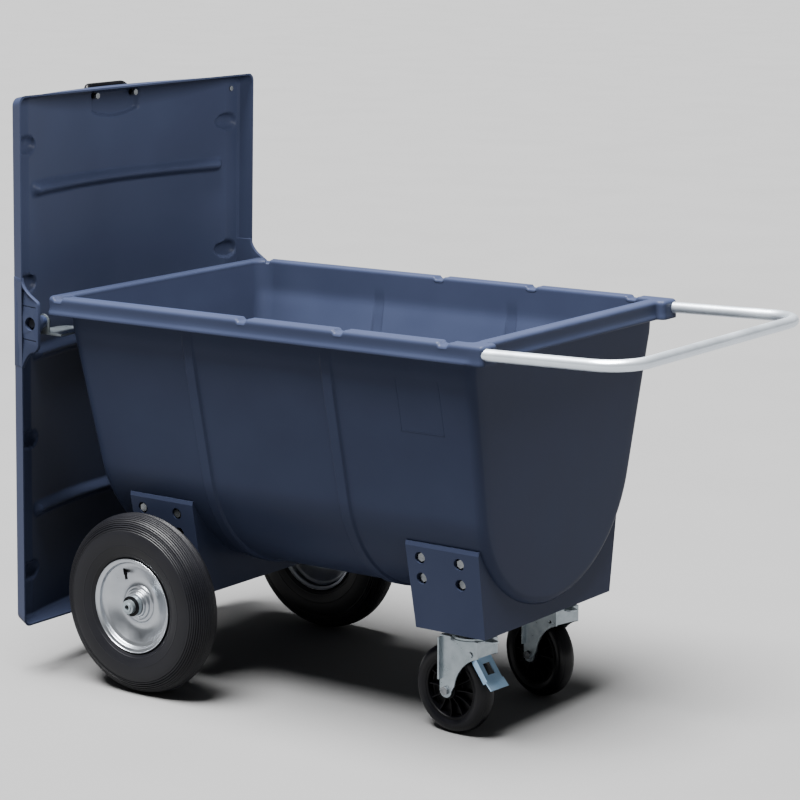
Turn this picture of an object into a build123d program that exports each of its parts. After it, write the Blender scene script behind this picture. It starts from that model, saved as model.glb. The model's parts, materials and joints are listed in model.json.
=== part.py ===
from build123d import *
import math
import os

# A push-and-pull feed cart: a moulded plastic tub on two pneumatic wheels and two
# swivel castors, with a tubular handle and a tilting lid.
# +X points to the handle end, +Y to the right-hand wheels, +Z up. The origin is on the
# floor, under the middle of the cart's bounding box. All sizes are in millimetres.

# ---- tub -------------------------------------------------------------------------
FRONT_X = 506.1          # handle end of the rim
RIM_LENGTH = 1192.0
RIM_WIDTH = 764.0
RIM_TOP = 897.0          # at the handle end
RIM_DEPTH = 42.0
RIM_SKIN = 4.0
RIM_CORNER = 24.0
RIM_ROUND = 8.0
EAR_WIDTH = 62.0
EAR_REACH = 18.0
TUB_SLOPE = -0.472       # degrees about Y: the lid end sits lower
WALL = 7.0
BELLY_RADIUS = 295.0
BELLY_Z = 572.0          # centre of the half-round bottom
SIDE_DRAFT = 11.4
SIDE_HALF = 352.0        # where the tapered side turns upright under the rim
FRONT_WALL_X = FRONT_X - 44.5
FRONT_DRAFT = 3.0
REAR_WALL_X = FRONT_X - 1161.0
REAR_DRAFT = 3.3
FRONT_EDGE_ROUND = 20.0
REAR_EDGE_ROUND = 44.0
NOTCHES_X = (FRONT_X - 101.0, FRONT_X - 367.0, FRONT_X - 625.0, FRONT_X - 1153.0)
NOTCH_WIDTH = 30.0
NOTCH_DEPTH = 6.0
RIBS_X = (FRONT_X - 798.0, FRONT_X - 420.0)
RIB_WIDTH = 34.0
RIB_HEIGHT = 6.0
RIB_TOP = 857.0          # just inside the rim's skirt

# ---- foot blocks -----------------------------------------------------------------
FRONT_BLOCK = dict(x=FRONT_X - 84.0, length_top=188.0, length_foot=178.0,
                   foot_z=246.0, top_z=440.0, foot_half=244.5, top_half=272.0,
                   head_seats=(252.0, 243.0), nut_seats=(220.0, 174.0))
REAR_BLOCK = dict(x=FRONT_X - 857.0, length_top=184.0, length_foot=176.0,
                  foot_z=218.6, top_z=440.5, foot_half=236.0, top_half=275.0,
                  head_seats=(258.0, 243.0), nut_seats=(226.0, 180.0))
BLOCK_WALL = 9.0
CORE_HALF = 165.0
BLOCK_BOLT_PITCH = 100.0
BLOCK_BOLT_Z = (406.0, 360.0)
POCKET_RADIUS = 13.0
BOLT_RADIUS = 5.0

# ---- handle ----------------------------------------------------------------------
TUBE_RADIUS = 12.5
TUBE_WALL = 2.5
HANDLE_HALF = 365.0
HANDLE_REACH = 324.8
HANDLE_BEND = 82.0
HANDLE_TUCK = 150.0
HANDLE_Z = 878.3
HANDLE_RISE = 1.6

# ---- lid -------------------------------------------------------------------------
PIVOT_LEVEL = (FRONT_X - 1211.0, 835.8)   # x, z before the tub's slope is applied
LID_LEAN = 1.32
LID_UP = 506.6
LID_DOWN = 711.7
LID_HALF = 393.2
LID_LIP_HALF = 408.0
LID_END_FLARE = 8.0
LID_SKIRT = 38.0
LID_BACK = 63.8          # from the pivot to the plane of the lid's flat side bands
LID_CROWN = 52.0
LID_CROWN_HALF = 345.0
LID_WALL = 4.0
LID_CORNER = 18.0
EAR_PLATE = 8.0
EAR_FRONT = 24.4
BOSS_RADIUS = 22.0
BOSS_DEPTH = 22.0
RECESS_RADIUS = 15.0
RECESS_DEPTH = 15.0
BUSH_RADIUS = 11.0
PIVOT_RADIUS = 6.0
GRIP_Z = 478.0
GRIP_HALF = 66.0
GRIP_STANDOFF = 28.5
GRIP_FOOT = 14.0         # straight length of each foot before the bar rises
GRIP_RISE = 18.0
GRIP_RADIUS = 7.5
CORNER_SCREW_Y = 362.0
CORNER_SCREW_Z = 470.0

# ---- lid hinge brackets ----------------------------------------------------------
BRACKET_SHEET = 4.0
BRACKET_Z = PIVOT_LEVEL[1] - 27.0
BRACKET_IN = 262.0
BRACKET_OUT = 366.0
BRACKET_REAR = PIVOT_LEVEL[0] - 34.0
BRACKET_DROP = 46.0
BRACKET_BOLT_Y = 281.0
BRACKET_LEG = 38.0
INSERT_DEPTH = 6.0       # blind insert moulded into the tub's end wall

# ---- rear wheels -----------------------------------------------------------------
WHEEL_X = FRONT_X - 956.3
WHEEL_Y = 335.2
WHEEL_RADIUS = 206.0
TYRE_HALF = 43.0
RIM_FLANGE = 108.0
HUB_RADIUS = 23.0
HUB_BORE = 20.0
HUB_HALF = 36.0
BEARING_DEPTH = 20.0     # how far each sleeve goes into the hub
FLANGE_GAP = 0.1         # between the hub's end and the sleeve's flange
AXLE_RADIUS = 10.0
AXLE_BORE = 6.0
AXLE_HALF = 387.0
AXLE_TUBE_RADIUS = 12.5
RUN = 0.06               # radial running clearance
VALVE_RADIUS = 4.2
VALVE_TURN = Rot(0, -25, 0)
VALVE_FOOT = (0, -14.0, 93.0)
VALVE_LEAN = (0, -0.25, -1.0)
SADDLE_Y = 190.0
SADDLE_BOLT_REACH = 34.0

# ---- castors ---------------------------------------------------------------------
CASTOR_X = FRONT_X - 174.7
CASTOR_Y = 160.1
CASTOR_YAW = {"left": -5.0, "right": -14.0}
TRAIL = 46.0
CASTOR_RADIUS = 99.0
CASTOR_TREAD = 69.0
CASTOR_HALF = 23.0
CASTOR_HUB_HALF = 28.5
LEG_INNER = 30.0
LEG_SHEET = 4.0
CROWN_TOP = 226.0
CROWN_FOOT = 216.0
CROWN_RADIUS = 47.0
PLATE_SHEET = 6.0
BALL_CIRCLE = 34.0
BALL_RADIUS = 3.6
BALLS = 16
BRAKE_PIVOT = (22.0, 190.0)
BRAKE_TOE = (74.0, 118.0)
BRAKE_HALF = 25.0
BRAKE_WINDOW = (27.0, 24.0)
WEB_FRONT = 42.0         # closed front of the fork, above the pedal's pivot
WEB_FOOT = 186.0
SIDES = (("left", -1), ("right", 1))


# ---- helpers ---------------------------------------------------------------------
def rod(start, direction, radius, length):
    """Cylinder from a start point along a direction."""
    place = Plane(origin=start, z_dir=direction).location
    return place * Cylinder(radius, length, align=(Align.CENTER, Align.CENTER, Align.MIN))


def pipe(start, direction, radius, bore, length):
    """Hollow cylinder from a start point along a direction."""
    return rod(start, direction, radius, length) - rod(start, direction, bore, length)


def hexagon(start, direction, flats, thickness):
    """Hexagonal prism, measured across its flats."""
    outline = Plane(origin=start, z_dir=direction) * RegularPolygon(flats / 2, 6, major_radius=False)
    return extrude(outline, thickness)


def bolt(seat, direction, radius, length, flats, head):
    """Hex bolt: the head stands on the seat, the shank runs along the direction."""
    back = [c - d * head for c, d in zip(seat, direction)]
    return hexagon(back, direction, flats, head) + rod(seat, direction, radius, length)


def nut(start, direction, radius, flats, thickness):
    """Hex nut that fits on a shank of the given radius."""
    return hexagon(start, direction, flats, thickness) - rod(start, direction, radius, thickness)


def both_sides(*solids):
    """The given solids and their mirror images across the XZ plane."""
    return list(solids) + [mirror(s, Plane.XZ) for s in solids]


def on_tub(shape):
    """Apply the tub's slope, which turns it about the handle end of its rim."""
    return Pos(FRONT_X, 0, RIM_TOP) * Rot(0, TUB_SLOPE, 0) * Pos(-FRONT_X, 0, -RIM_TOP) * shape


def outline_xz(edges, y, thickness):
    """Extrude a closed outline drawn as (x, z) edges, from y towards +Y."""
    face = Plane.XZ * make_face(edges)
    return extrude(Pos(0, y, 0) * face, thickness, dir=(0, 1, 0))


def save(node, *solids):
    """Write one node as a STEP file."""
    flat = []
    for item in solids:
        flat += list(item.solids())
    export_step(flat[0] if len(flat) == 1 else Compound(flat), f"parts/{node}.step")


# ---- tub -------------------------------------------------------------------------
def u_face(inset, top):
    """The tub's U section in the YZ plane, set inwards by a wall offset."""
    radius = BELLY_RADIUS - inset
    draft = math.radians(SIDE_DRAFT)
    turn_y = radius * math.cos(draft)
    turn_z = BELLY_Z - radius * math.sin(draft)
    half = SIDE_HALF - inset
    upright_z = turn_z + (half - turn_y) / math.tan(draft)
    points = [(turn_y, turn_z)]
    if top > upright_z:
        points += [(half, upright_z), (half, top)]
    else:
        points += [(turn_y + (top - turn_z) * math.tan(draft), top)]
    other = [(-y, z) for y, z in reversed(points)]
    sides = Polyline(*points, *other)
    belly = ThreePointArc(other[-1], (0, BELLY_Z - radius), points[0])
    return Plane.YZ * make_face([*sides.edges(), belly])


def tub_body(inset, top):
    """The tub's outer shape, or its cavity when inset by the wall."""
    low = BELLY_Z - BELLY_RADIUS - 50

    def wall_x(x, draft, sign, z):
        return x - sign * (math.tan(math.radians(draft)) * (RIM_TOP - z) + inset)

    long = extrude(Pos(REAR_WALL_X - 20, 0, 0) * u_face(inset, top), RIM_LENGTH)
    ends = Polyline(
        (wall_x(FRONT_WALL_X, FRONT_DRAFT, 1, low), low),
        (wall_x(FRONT_WALL_X, FRONT_DRAFT, 1, top), top),
        (wall_x(REAR_WALL_X, REAR_DRAFT, -1, top), top),
        (wall_x(REAR_WALL_X, REAR_DRAFT, -1, low), low),
        close=True,
    )
    body = long & outline_xz(ends.edges(), -500, 1000)
    faces = body.faces().sort_by(Axis.X)
    for face, radius in ((faces[-1], FRONT_EDGE_ROUND), (faces[0], REAR_EDGE_ROUND)):
        edges = [e for e in face.edges() if e.center().Z < top - 1]
        body = fillet([e for e in body.edges() if any(same_edge(e, f) for f in edges)], radius - inset)
    return body


def same_edge(a, b):
    """Whether two edges have the same middle."""
    return (a.center() - b.center()).length < 0.01


def rim_plan(inset):
    """Plan of the rim, set back between the two ears at the handle end."""
    plan = RectangleRounded(RIM_LENGTH, RIM_WIDTH, RIM_CORNER)
    gap = Pos(RIM_LENGTH / 2, 0) * Rectangle(2 * EAR_REACH, RIM_WIDTH - 2 * EAR_WIDTH)
    plan = plan - gap
    if inset:
        plan = offset(plan, -inset, kind=Kind.INTERSECTION)
    return Pos(FRONT_X - RIM_LENGTH / 2, 0, 0) * plan


def rib_bands(inset, width):
    """U-shaped bands that stand out of the tub's surface, one at each hollow rib."""
    band = u_face(inset - RIB_HEIGHT, RIB_TOP) - u_face(inset + 1, RIB_TOP + 20)
    return [extrude(Pos(x - width / 2, 0, 0) * band, width) for x in RIBS_X]


def rim_notches():
    """Wedges that cut the shallow notches across the two side rails of the rim."""
    cuts = []
    for x in NOTCHES_X:
        for side in (-1, 1):
            wedge = Polyline(
                (x - NOTCH_WIDTH / 2, RIM_TOP + 1),
                (x + NOTCH_WIDTH / 2, RIM_TOP + 1),
                (x + NOTCH_WIDTH / 2 - NOTCH_DEPTH, RIM_TOP - NOTCH_DEPTH),
                (x - NOTCH_WIDTH / 2 + NOTCH_DEPTH, RIM_TOP - NOTCH_DEPTH),
                close=True,
            )
            start = RIM_WIDTH / 2 - 10 if side > 0 else -RIM_WIDTH / 2 - 10
            cuts.append(outline_xz(wedge.edges(), start, 20))
    return cuts


def make_tub():
    """Hollow tub with its hollow rim, notches, hollow ribs and bolt seats."""
    rim = extrude(Pos(0, 0, RIM_TOP - RIM_DEPTH) * rim_plan(0), RIM_DEPTH)
    rim = fillet(rim.edges().group_by(Axis.Z)[-1], RIM_ROUND)
    for wedge in rim_notches():
        rim -= wedge
    under = extrude(Pos(0, 0, RIM_TOP - RIM_DEPTH - 1) * rim_plan(RIM_SKIN), RIM_DEPTH - 2 * RIM_SKIN)
    rim -= under
    body = tub_body(0, RIM_TOP - RIM_SKIN)
    for band in rib_bands(0, RIB_WIDTH):
        body += band
    cavity = tub_body(WALL, RIM_TOP + 5)
    for band in rib_bands(WALL, RIB_WIDTH - 2 * WALL):
        cavity += band
    tub = on_tub(rim + body - cavity)
    for x, z, out_y, in_y in block_bolt_places():
        for side in (-1, 1):
            seat = rod((x, side * in_y, z), (0, side, 0), 15, out_y - in_y - 14)
            tub += seat & on_tub(tub_body(1, RIM_TOP))
    for x, z, out_y, in_y in block_bolt_places():
        tub -= rod((x, -300, z), (0, 1, 0), BOLT_RADIUS + 0.2, 600)
    for side in (-1, 1):
        tub -= handle_place(rod((FRONT_X - HANDLE_TUCK - 4, side * HANDLE_HALF, HANDLE_Z), (1, 0, 0),
                                TUBE_RADIUS + 0.1, HANDLE_TUCK + 20))
        for x in handle_screw_places():
            tub -= handle_place(rod((x, side * HANDLE_HALF, HANDLE_Z - 10), (0, 0, 1), 3.1, 25))
    for x, z in bracket_bolt_places():
        for side in (-1, 1):
            tub -= on_tub(rod((x - 30, side * BRACKET_BOLT_Y, z), (1, 0, 0), 4.1, 30 + INSERT_DEPTH))
    return tub


# ---- foot blocks -----------------------------------------------------------------
def block_bolt_places():
    """Each bolt through a block's cheek: x, z, y of the head's seat and of the nut's seat."""
    places = []
    for block in (FRONT_BLOCK, REAR_BLOCK):
        middle = block["x"] - block["length_top"] / 2 - 8
        for z, out_y, in_y in zip(BLOCK_BOLT_Z, block["head_seats"], block["nut_seats"]):
            places += [(middle + dx, z, out_y, in_y) for dx in (-BLOCK_BOLT_PITCH / 2, BLOCK_BOLT_PITCH / 2)]
    return places


def make_block(block, tub_outside):
    """Cradle whose cheeks wrap the tub's belly, hollow under the middle."""
    x, top, foot = block["x"], block["top_z"], block["foot_z"]
    profile = Polyline(
        (-block["foot_half"], foot),
        (block["foot_half"], foot),
        (block["top_half"], top),
        (-block["top_half"], top),
        close=True,
    )
    body = extrude(Pos(x - 300, 0, 0) * (Plane.YZ * make_face(profile.edges())), 300)
    side = Polyline(
        (x, foot),
        (x, top),
        (x - block["length_top"], top),
        (x - block["length_foot"], foot),
        close=True,
    )
    body &= outline_xz(side.edges(), -400, 800)
    body = chamfer(body.edges().group_by(Axis.Z)[-1].filter_by(Axis.X), 3, 9,
                   reference=body.faces().sort_by(Axis.Z)[-1])
    core_x = x - block["length_foot"] / 2
    core_length = block["length_foot"] - 2 * BLOCK_WALL
    body -= Pos(core_x, 0, foot + BLOCK_WALL) * Box(
        core_length, 2 * CORE_HALF, 200, align=(Align.CENTER, Align.CENTER, Align.MIN))
    body -= tub_outside
    for bolt_x, z, out_y, in_y in block_bolt_places():
        for direction in (-1, 1):
            body -= rod((bolt_x, direction * out_y, z), (0, direction, 0), POCKET_RADIUS, 60)
            body -= rod((bolt_x, direction * 150, z), (0, direction, 0), BOLT_RADIUS + 0.2, 150)
    return body


def block_fasteners(block):
    """Bolts, washers and nuts of one block, on both sides."""
    bolts, washers, nuts = [], [], []
    for x, z, out_y, in_y in block_bolt_places():
        if not block["x"] - block["length_top"] < x < block["x"]:
            continue
        for side in (-1, 1):
            inward = (0, -side, 0)
            washers.append(pipe((x, side * (out_y + 0.1), z), (0, side, 0), 10, BOLT_RADIUS + 0.1, 2))
            washers.append(pipe((x, side * (in_y - 0.1), z), inward, 11, BOLT_RADIUS + 0.1, 2))
            bolts.append(bolt((x, side * (out_y + 2.2), z), inward, BOLT_RADIUS, out_y - in_y + 15, 17, 7))
            nuts.append(nut((x, side * (in_y - 2.2), z), inward, BOLT_RADIUS + 0.1, 17, 8))
    return bolts, washers, nuts


# ---- handle ----------------------------------------------------------------------
def handle_place(shape):
    """Tip the handle up about the point where it leaves the rim."""
    return Pos(FRONT_X, 0, HANDLE_Z) * Rot(0, -HANDLE_RISE, 0) * Pos(-FRONT_X, 0, -HANDLE_Z) * shape


def handle_screw_places():
    """x of the two screws that hold each leg of the handle in the rim."""
    return (FRONT_X - 62.0, FRONT_X - 128.0)


def make_handle():
    """Tubular hoop with two rounded corners, whose legs slide into the hollow rim."""
    tail = FRONT_X - HANDLE_TUCK
    front = FRONT_X + HANDLE_REACH
    path = FilletPolyline((tail, HANDLE_HALF), (front, HANDLE_HALF), (front, -HANDLE_HALF),
                          (tail, -HANDLE_HALF), radius=HANDLE_BEND)
    path = Pos(0, 0, HANDLE_Z) * path
    ring = Circle(TUBE_RADIUS) - Circle(TUBE_RADIUS - TUBE_WALL)
    hoop = sweep(Plane(origin=path @ 0, z_dir=path % 0) * ring, path=path)
    for x in handle_screw_places():
        for side in (-1, 1):
            hoop -= rod((x, side * HANDLE_HALF, HANDLE_Z - 20), (0, 0, 1), 3.2, 40)
    return handle_place(hoop)


def make_handle_screws():
    """Screws up through each leg of the handle into the rim's top skin."""
    screws = []
    for x in handle_screw_places():
        for side in (-1, 1):
            seat = (x, side * HANDLE_HALF, HANDLE_Z - TUBE_RADIUS - 0.2)
            screws.append(handle_place(bolt(seat, (0, 0, 1), 3, 2 * TUBE_RADIUS + 0.5, 10, 4)))
    return screws


# ---- lid hinge brackets ----------------------------------------------------------
def rear_wall_at(z):
    """x of the tub's lid-end wall, outside, at a height in the tub's own frame."""
    return REAR_WALL_X + math.tan(math.radians(REAR_DRAFT)) * (RIM_TOP - z)


def bracket_bolt_places():
    """x, z of the two bolts of a bracket, in the tub's own frame."""
    return [(rear_wall_at(z), z) for z in (BRACKET_Z - 16.0, BRACKET_Z - 36.0)]


def make_brackets():
    """Bent steel brackets: a leg on the tub's end wall, a shelf and an upright lug."""
    front = rear_wall_at(BRACKET_Z) - 0.3
    depth = front - BRACKET_REAR
    width = BRACKET_OUT - BRACKET_IN
    shelf = Pos(BRACKET_REAR + depth / 2, (BRACKET_IN + BRACKET_OUT) / 2, BRACKET_Z) * Box(
        depth, width, BRACKET_SHEET)
    shelf = fillet(shelf.edges().filter_by(Axis.Z).sort_by(Axis.X)[:2], 28)
    leg = Pos(front, BRACKET_BOLT_Y, BRACKET_Z + 2) * Rot(0, -REAR_DRAFT, 0) * Pos(
        -BRACKET_SHEET / 2, 0, -BRACKET_DROP / 2) * Box(BRACKET_SHEET, BRACKET_LEG, BRACKET_DROP)
    pivot_x, pivot_z = PIVOT_LEVEL
    lug = outline_xz(Polyline((pivot_x - 17, BRACKET_Z), (pivot_x - 17, pivot_z), (pivot_x + 17, pivot_z),
                              (pivot_x + 17, BRACKET_Z), close=True).edges(),
                     BRACKET_OUT - BRACKET_SHEET, BRACKET_SHEET)
    lug += rod((pivot_x, BRACKET_OUT - BRACKET_SHEET, pivot_z), (0, 1, 0), 17, BRACKET_SHEET)
    bracket = shelf + leg + lug
    bracket -= rod((pivot_x, BRACKET_OUT - 20, pivot_z), (0, 1, 0), PIVOT_RADIUS + 0.1, 40)
    for x, z in bracket_bolt_places():
        bracket -= rod((x - 30, BRACKET_BOLT_Y, z), (1, 0, 0), 4.1, 60)
    return [on_tub(b) for b in both_sides(bracket)]


def make_bracket_bolts():
    """Two bolts that hold each bracket in the inserts of the tub's end wall."""
    bolts = []
    length = BRACKET_SHEET + 1.6 + INSERT_DEPTH - 0.3
    for x, z in bracket_bolt_places():
        for side in (-1, 1):
            seat = (x - BRACKET_SHEET - 1.6, side * BRACKET_BOLT_Y, z)
            bolts.append(on_tub(bolt(seat, (1, 0, 0), 4, length, 13, 5)))
    return bolts


def pivot_point():
    """x, z of the lid's pivot axis on the finished cart."""
    slope = math.radians(TUB_SLOPE)
    dx, dz = PIVOT_LEVEL[0] - FRONT_X, PIVOT_LEVEL[1] - RIM_TOP
    return (FRONT_X + dx * math.cos(slope) + dz * math.sin(slope),
            RIM_TOP - dx * math.sin(slope) + dz * math.cos(slope))


def make_pivot_hardware():
    """Pivot bolts, spacer sleeves and nuts of the lid's two hinges."""
    x, z = pivot_point()
    boss_in = LID_LIP_HALF - BOSS_DEPTH
    head_seat = LID_LIP_HALF - RECESS_DEPTH + 2.0
    bolts, spacers, nuts = [], [], []
    for side in (-1, 1):
        inward = (0, -side, 0)
        washer = pipe((x, side * (head_seat - 1.7), z), (0, side, 0), 12.5, PIVOT_RADIUS, 1.5)
        length = head_seat - BRACKET_OUT + BRACKET_SHEET + 14
        bolts.append(bolt((x, side * head_seat, z), inward, PIVOT_RADIUS, length, 18, 7) + washer)
        spacers.append(pipe((x, side * (BRACKET_OUT + 0.2), z), (0, side, 0), 14, PIVOT_RADIUS + 0.1,
                            boss_in - BRACKET_OUT - 2.4))
        nut_seat = (x, side * (BRACKET_OUT - BRACKET_SHEET - 0.2), z)
        nuts.append(nut(nut_seat, inward, PIVOT_RADIUS + 0.1, 18, 9))
    return bolts, spacers, nuts


# ---- lid -------------------------------------------------------------------------
def lid_place(shape):
    """Put a lid part, drawn about the pivot, in its place at rest."""
    x, z = pivot_point()
    return Pos(x, 0, z) * Rot(0, LID_LEAN, 0) * shape


def lid_dish(inset, depth):
    """The lid's outer shape, or its hollow when inset: a flared dish with a crowned back."""
    def outline(half, up, down, x):
        plan = RectangleRounded(2 * half, up + down, LID_CORNER)
        return Plane(origin=(x, 0, (up - down) / 2), x_dir=(0, 1, 0), z_dir=(1, 0, 0)) * plan

    flat = outline(LID_HALF - inset, LID_UP - LID_END_FLARE - inset, LID_DOWN - LID_END_FLARE - inset,
                   -LID_BACK + inset)
    lip = outline(LID_LIP_HALF - inset, LID_UP - inset, LID_DOWN - inset, -LID_BACK + depth)
    dish = loft([flat, lip])
    up = LID_UP - LID_END_FLARE - inset
    down = LID_DOWN - LID_END_FLARE - inset
    half = LID_CROWN_HALF - inset
    back = -LID_BACK + inset
    arc = ThreePointArc((back, -half), (back - LID_CROWN, 0), (back, half))
    step = Polyline((back, half), (back + 1, half), (back + 1, -half), (back, -half))
    crown = extrude(Pos(0, 0, -down) * make_face([arc, *step.edges()]), up + down)
    return dish + crown


def lid_ear():
    """Ear at the middle of the lid's left-hand side, outline drawn about the pivot."""
    back, lip = -LID_BACK + 14, -LID_BACK + LID_SKIRT
    edges = [
        Line((back, 100), (lip, 100)),
        ThreePointArc((lip, 100), (lip + 7, 81), (lip + 22, 66)),
        Line((lip + 22, 66), (EAR_FRONT, 49)),
        Line((EAR_FRONT, 49), (EAR_FRONT, -54)),
        Line((EAR_FRONT, -54), (EAR_FRONT - 11, -64)),
        ThreePointArc((EAR_FRONT - 11, -64), (lip + 12, -78), (lip, -105)),
        Line((lip, -105), (back, -105)),
        Line((back, -105), (back, 100)),
    ]
    plate = outline_xz(edges, -LID_LIP_HALF, EAR_PLATE)
    boss = rod((0, -LID_LIP_HALF, 0), (0, 1, 0), BOSS_RADIUS, BOSS_DEPTH)
    rails = []
    for z in (38.0, -38.0):
        rails.append(Pos((back + EAR_FRONT) / 2 - 3, -LID_LIP_HALF + BOSS_DEPTH / 2, z) * Box(
            EAR_FRONT - back - 6, BOSS_DEPTH - 2, 4))
    return plate + boss + rails[0] + rails[1]


def make_lid():
    """Dished lid with crowned back, cross ribs and side dimples, and two pivot ears."""
    lid = lid_dish(0, LID_SKIRT) - lid_dish(LID_WALL, LID_SKIRT + 20)
    for ear in both_sides(lid_ear()):
        lid += ear
    for side in (-1, 1):
        outer = (0, side * LID_LIP_HALF, 0)
        lid -= rod(outer, (0, -side, 0), RECESS_RADIUS, RECESS_DEPTH)
        lid -= rod(outer, (0, -side, 0), BUSH_RADIUS, BOSS_DEPTH + 20)
        lid -= rod((-LID_BACK - LID_CROWN - 10, side * GRIP_HALF, GRIP_Z), (1, 0, 0), 4.1, 40)
    lid -= rod((-LID_BACK - 10, CORNER_SCREW_Y, CORNER_SCREW_Z), (1, 0, 0), 3.0, 30)
    return lid_place(lid)


def make_pivot_bushes():
    """Flanged plastic bushes in the lid's ears, running on the pivot bolts."""
    boss_in = LID_LIP_HALF - BOSS_DEPTH
    bushes = []
    for side in (-1, 1):
        body = rod((0, side * (boss_in - 1.5), 0), (0, side, 0), BUSH_RADIUS, 8)
        body += rod((0, side * (boss_in - 1.5), 0), (0, side, 0), BUSH_RADIUS + 3, 1.5)
        body -= rod((0, side * (boss_in - 2), 0), (0, side, 0), PIVOT_RADIUS + RUN, 12)
        bushes.append(lid_place(body))
    return bushes


def crown_x(y, inset):
    """x of the lid's crowned back at y, drawn about the pivot."""
    half, rise = LID_CROWN_HALF, LID_CROWN
    radius = (half ** 2 + rise ** 2) / (2 * rise)
    return -LID_BACK - rise + radius - math.sqrt(radius ** 2 - y ** 2) + inset


def make_grip():
    """Bow grip on the outside of the lid's top edge, with its bar above its feet."""
    foot = crown_x(GRIP_HALF - GRIP_RADIUS, 0) - 0.1
    bar = foot - GRIP_STANDOFF
    leg = [(foot, GRIP_Z), (foot - GRIP_FOOT, GRIP_Z), (bar, GRIP_Z + GRIP_RISE)]
    points = [(x, -GRIP_HALF, z) for x, z in leg] + [(x, GRIP_HALF, z) for x, z in reversed(leg)]
    path = FilletPolyline(*points, radius=12)
    grip = sweep(Plane(origin=path @ 0, z_dir=path % 0) * Circle(GRIP_RADIUS), path=path)
    for side in (-1, 1):
        grip -= rod((foot + 2, side * GRIP_HALF, GRIP_Z), (-1, 0, 0), 4.0, 18)
    return lid_place(grip)


def make_corner_screw():
    """Pan-head screw through the flat band at the lid's top right-hand corner."""
    seat = (-LID_BACK + LID_WALL + 0.1, CORNER_SCREW_Y, CORNER_SCREW_Z)
    head = rod(seat, (1, 0, 0), 6, 3)
    return lid_place(head + rod((seat[0] + 1, seat[1], seat[2]), (-1, 0, 0), 2.9, 14))


def make_grip_bolts():
    """Bolts from inside the lid into the grip's feet."""
    inside = crown_x(GRIP_HALF + 8, LID_WALL) + 0.1
    seats = [(inside, side * GRIP_HALF, GRIP_Z) for side in (-1, 1)]
    return [lid_place(bolt(seat, (-1, 0, 0), 3.9, 18, 13, 5)) for seat in seats]


# ---- rear axle and wheels --------------------------------------------------------
def make_axle():
    """Stepped hollow axle: a thick middle under the block and two journals."""
    shoulder = WHEEL_Y - HUB_HALF - 5.0
    middle = rod((WHEEL_X, -shoulder, WHEEL_RADIUS), (0, 1, 0), AXLE_TUBE_RADIUS, 2 * shoulder)
    axle = middle + rod((WHEEL_X, -AXLE_HALF, WHEEL_RADIUS), (0, 1, 0), AXLE_RADIUS, 2 * AXLE_HALF)
    axle -= rod((WHEEL_X, -AXLE_HALF - 1, WHEEL_RADIUS), (0, 1, 0), AXLE_BORE, 2 * AXLE_HALF + 2)
    for side in (-1, 1):
        axle -= rod((WHEEL_X, side * (AXLE_HALF - 7), WHEEL_RADIUS - 20), (0, 0, 1), 1.8, 40)
    return axle


def make_axle_saddles():
    """Steel saddles that clamp the axle under the rear block, with their bolts."""
    saddles, bolts = [], []
    for side in (-1, 1):
        y = side * SADDLE_Y
        strap = Pos(WHEEL_X, y, WHEEL_RADIUS + AXLE_TUBE_RADIUS - 2.2) * Box(92, 40, 4)
        strap += pipe((WHEEL_X, y - 20, WHEEL_RADIUS), (0, 1, 0),
                      AXLE_TUBE_RADIUS + 4, AXLE_TUBE_RADIUS, 40)
        strap -= rod((WHEEL_X, y - 25, WHEEL_RADIUS), (0, 1, 0), AXLE_TUBE_RADIUS + 0.1, 50)
        strap -= Pos(WHEEL_X, y, WHEEL_RADIUS + AXLE_TUBE_RADIUS + 5) * Box(120, 60, 10)
        for dx in (-SADDLE_BOLT_REACH, SADDLE_BOLT_REACH):
            seat = (WHEEL_X + dx, y, WHEEL_RADIUS + AXLE_TUBE_RADIUS - 4.4)
            strap -= rod((seat[0], y, seat[2] - 5), (0, 0, 1), 4.2, 20)
            bolts.append(bolt(seat, (0, 0, 1), 4.0, 12, 13, 5))
        saddles.append(strap)
    return saddles, bolts


def make_axle_collars():
    """Thrust collars beside each hub; the outer one carries the split pin."""
    inner_y = WHEEL_Y - HUB_HALF - 4.6
    outer_y = WHEEL_Y + HUB_HALF + 3.6
    collars, pins = [], []
    for side in (-1, 1):
        collars.append(pipe((WHEEL_X, side * inner_y, WHEEL_RADIUS), (0, side, 0),
                            17, AXLE_RADIUS + 0.02, 1.2))
        collar = pipe((WHEEL_X, side * outer_y, WHEEL_RADIUS), (0, side, 0), 15.5, AXLE_RADIUS + 0.02, 10)
        pin_at = (WHEEL_X, side * (AXLE_HALF - 7), WHEEL_RADIUS - 18)
        collars.append(collar - rod(pin_at, (0, 0, 1), 1.8, 40))
        pins.append(rod(pin_at, (0, 0, 1), 1.6, 36) + Pos(*pin_at) * Sphere(2.6))
    return collars, pins


def wheel_place(shape, side):
    """Put a wheel part, drawn about the origin with its outer face to -Y, on the axle."""
    if side > 0:
        shape = mirror(shape, Plane.XZ)
    return Pos(WHEEL_X, side * WHEEL_Y, WHEEL_RADIUS) * shape


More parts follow.
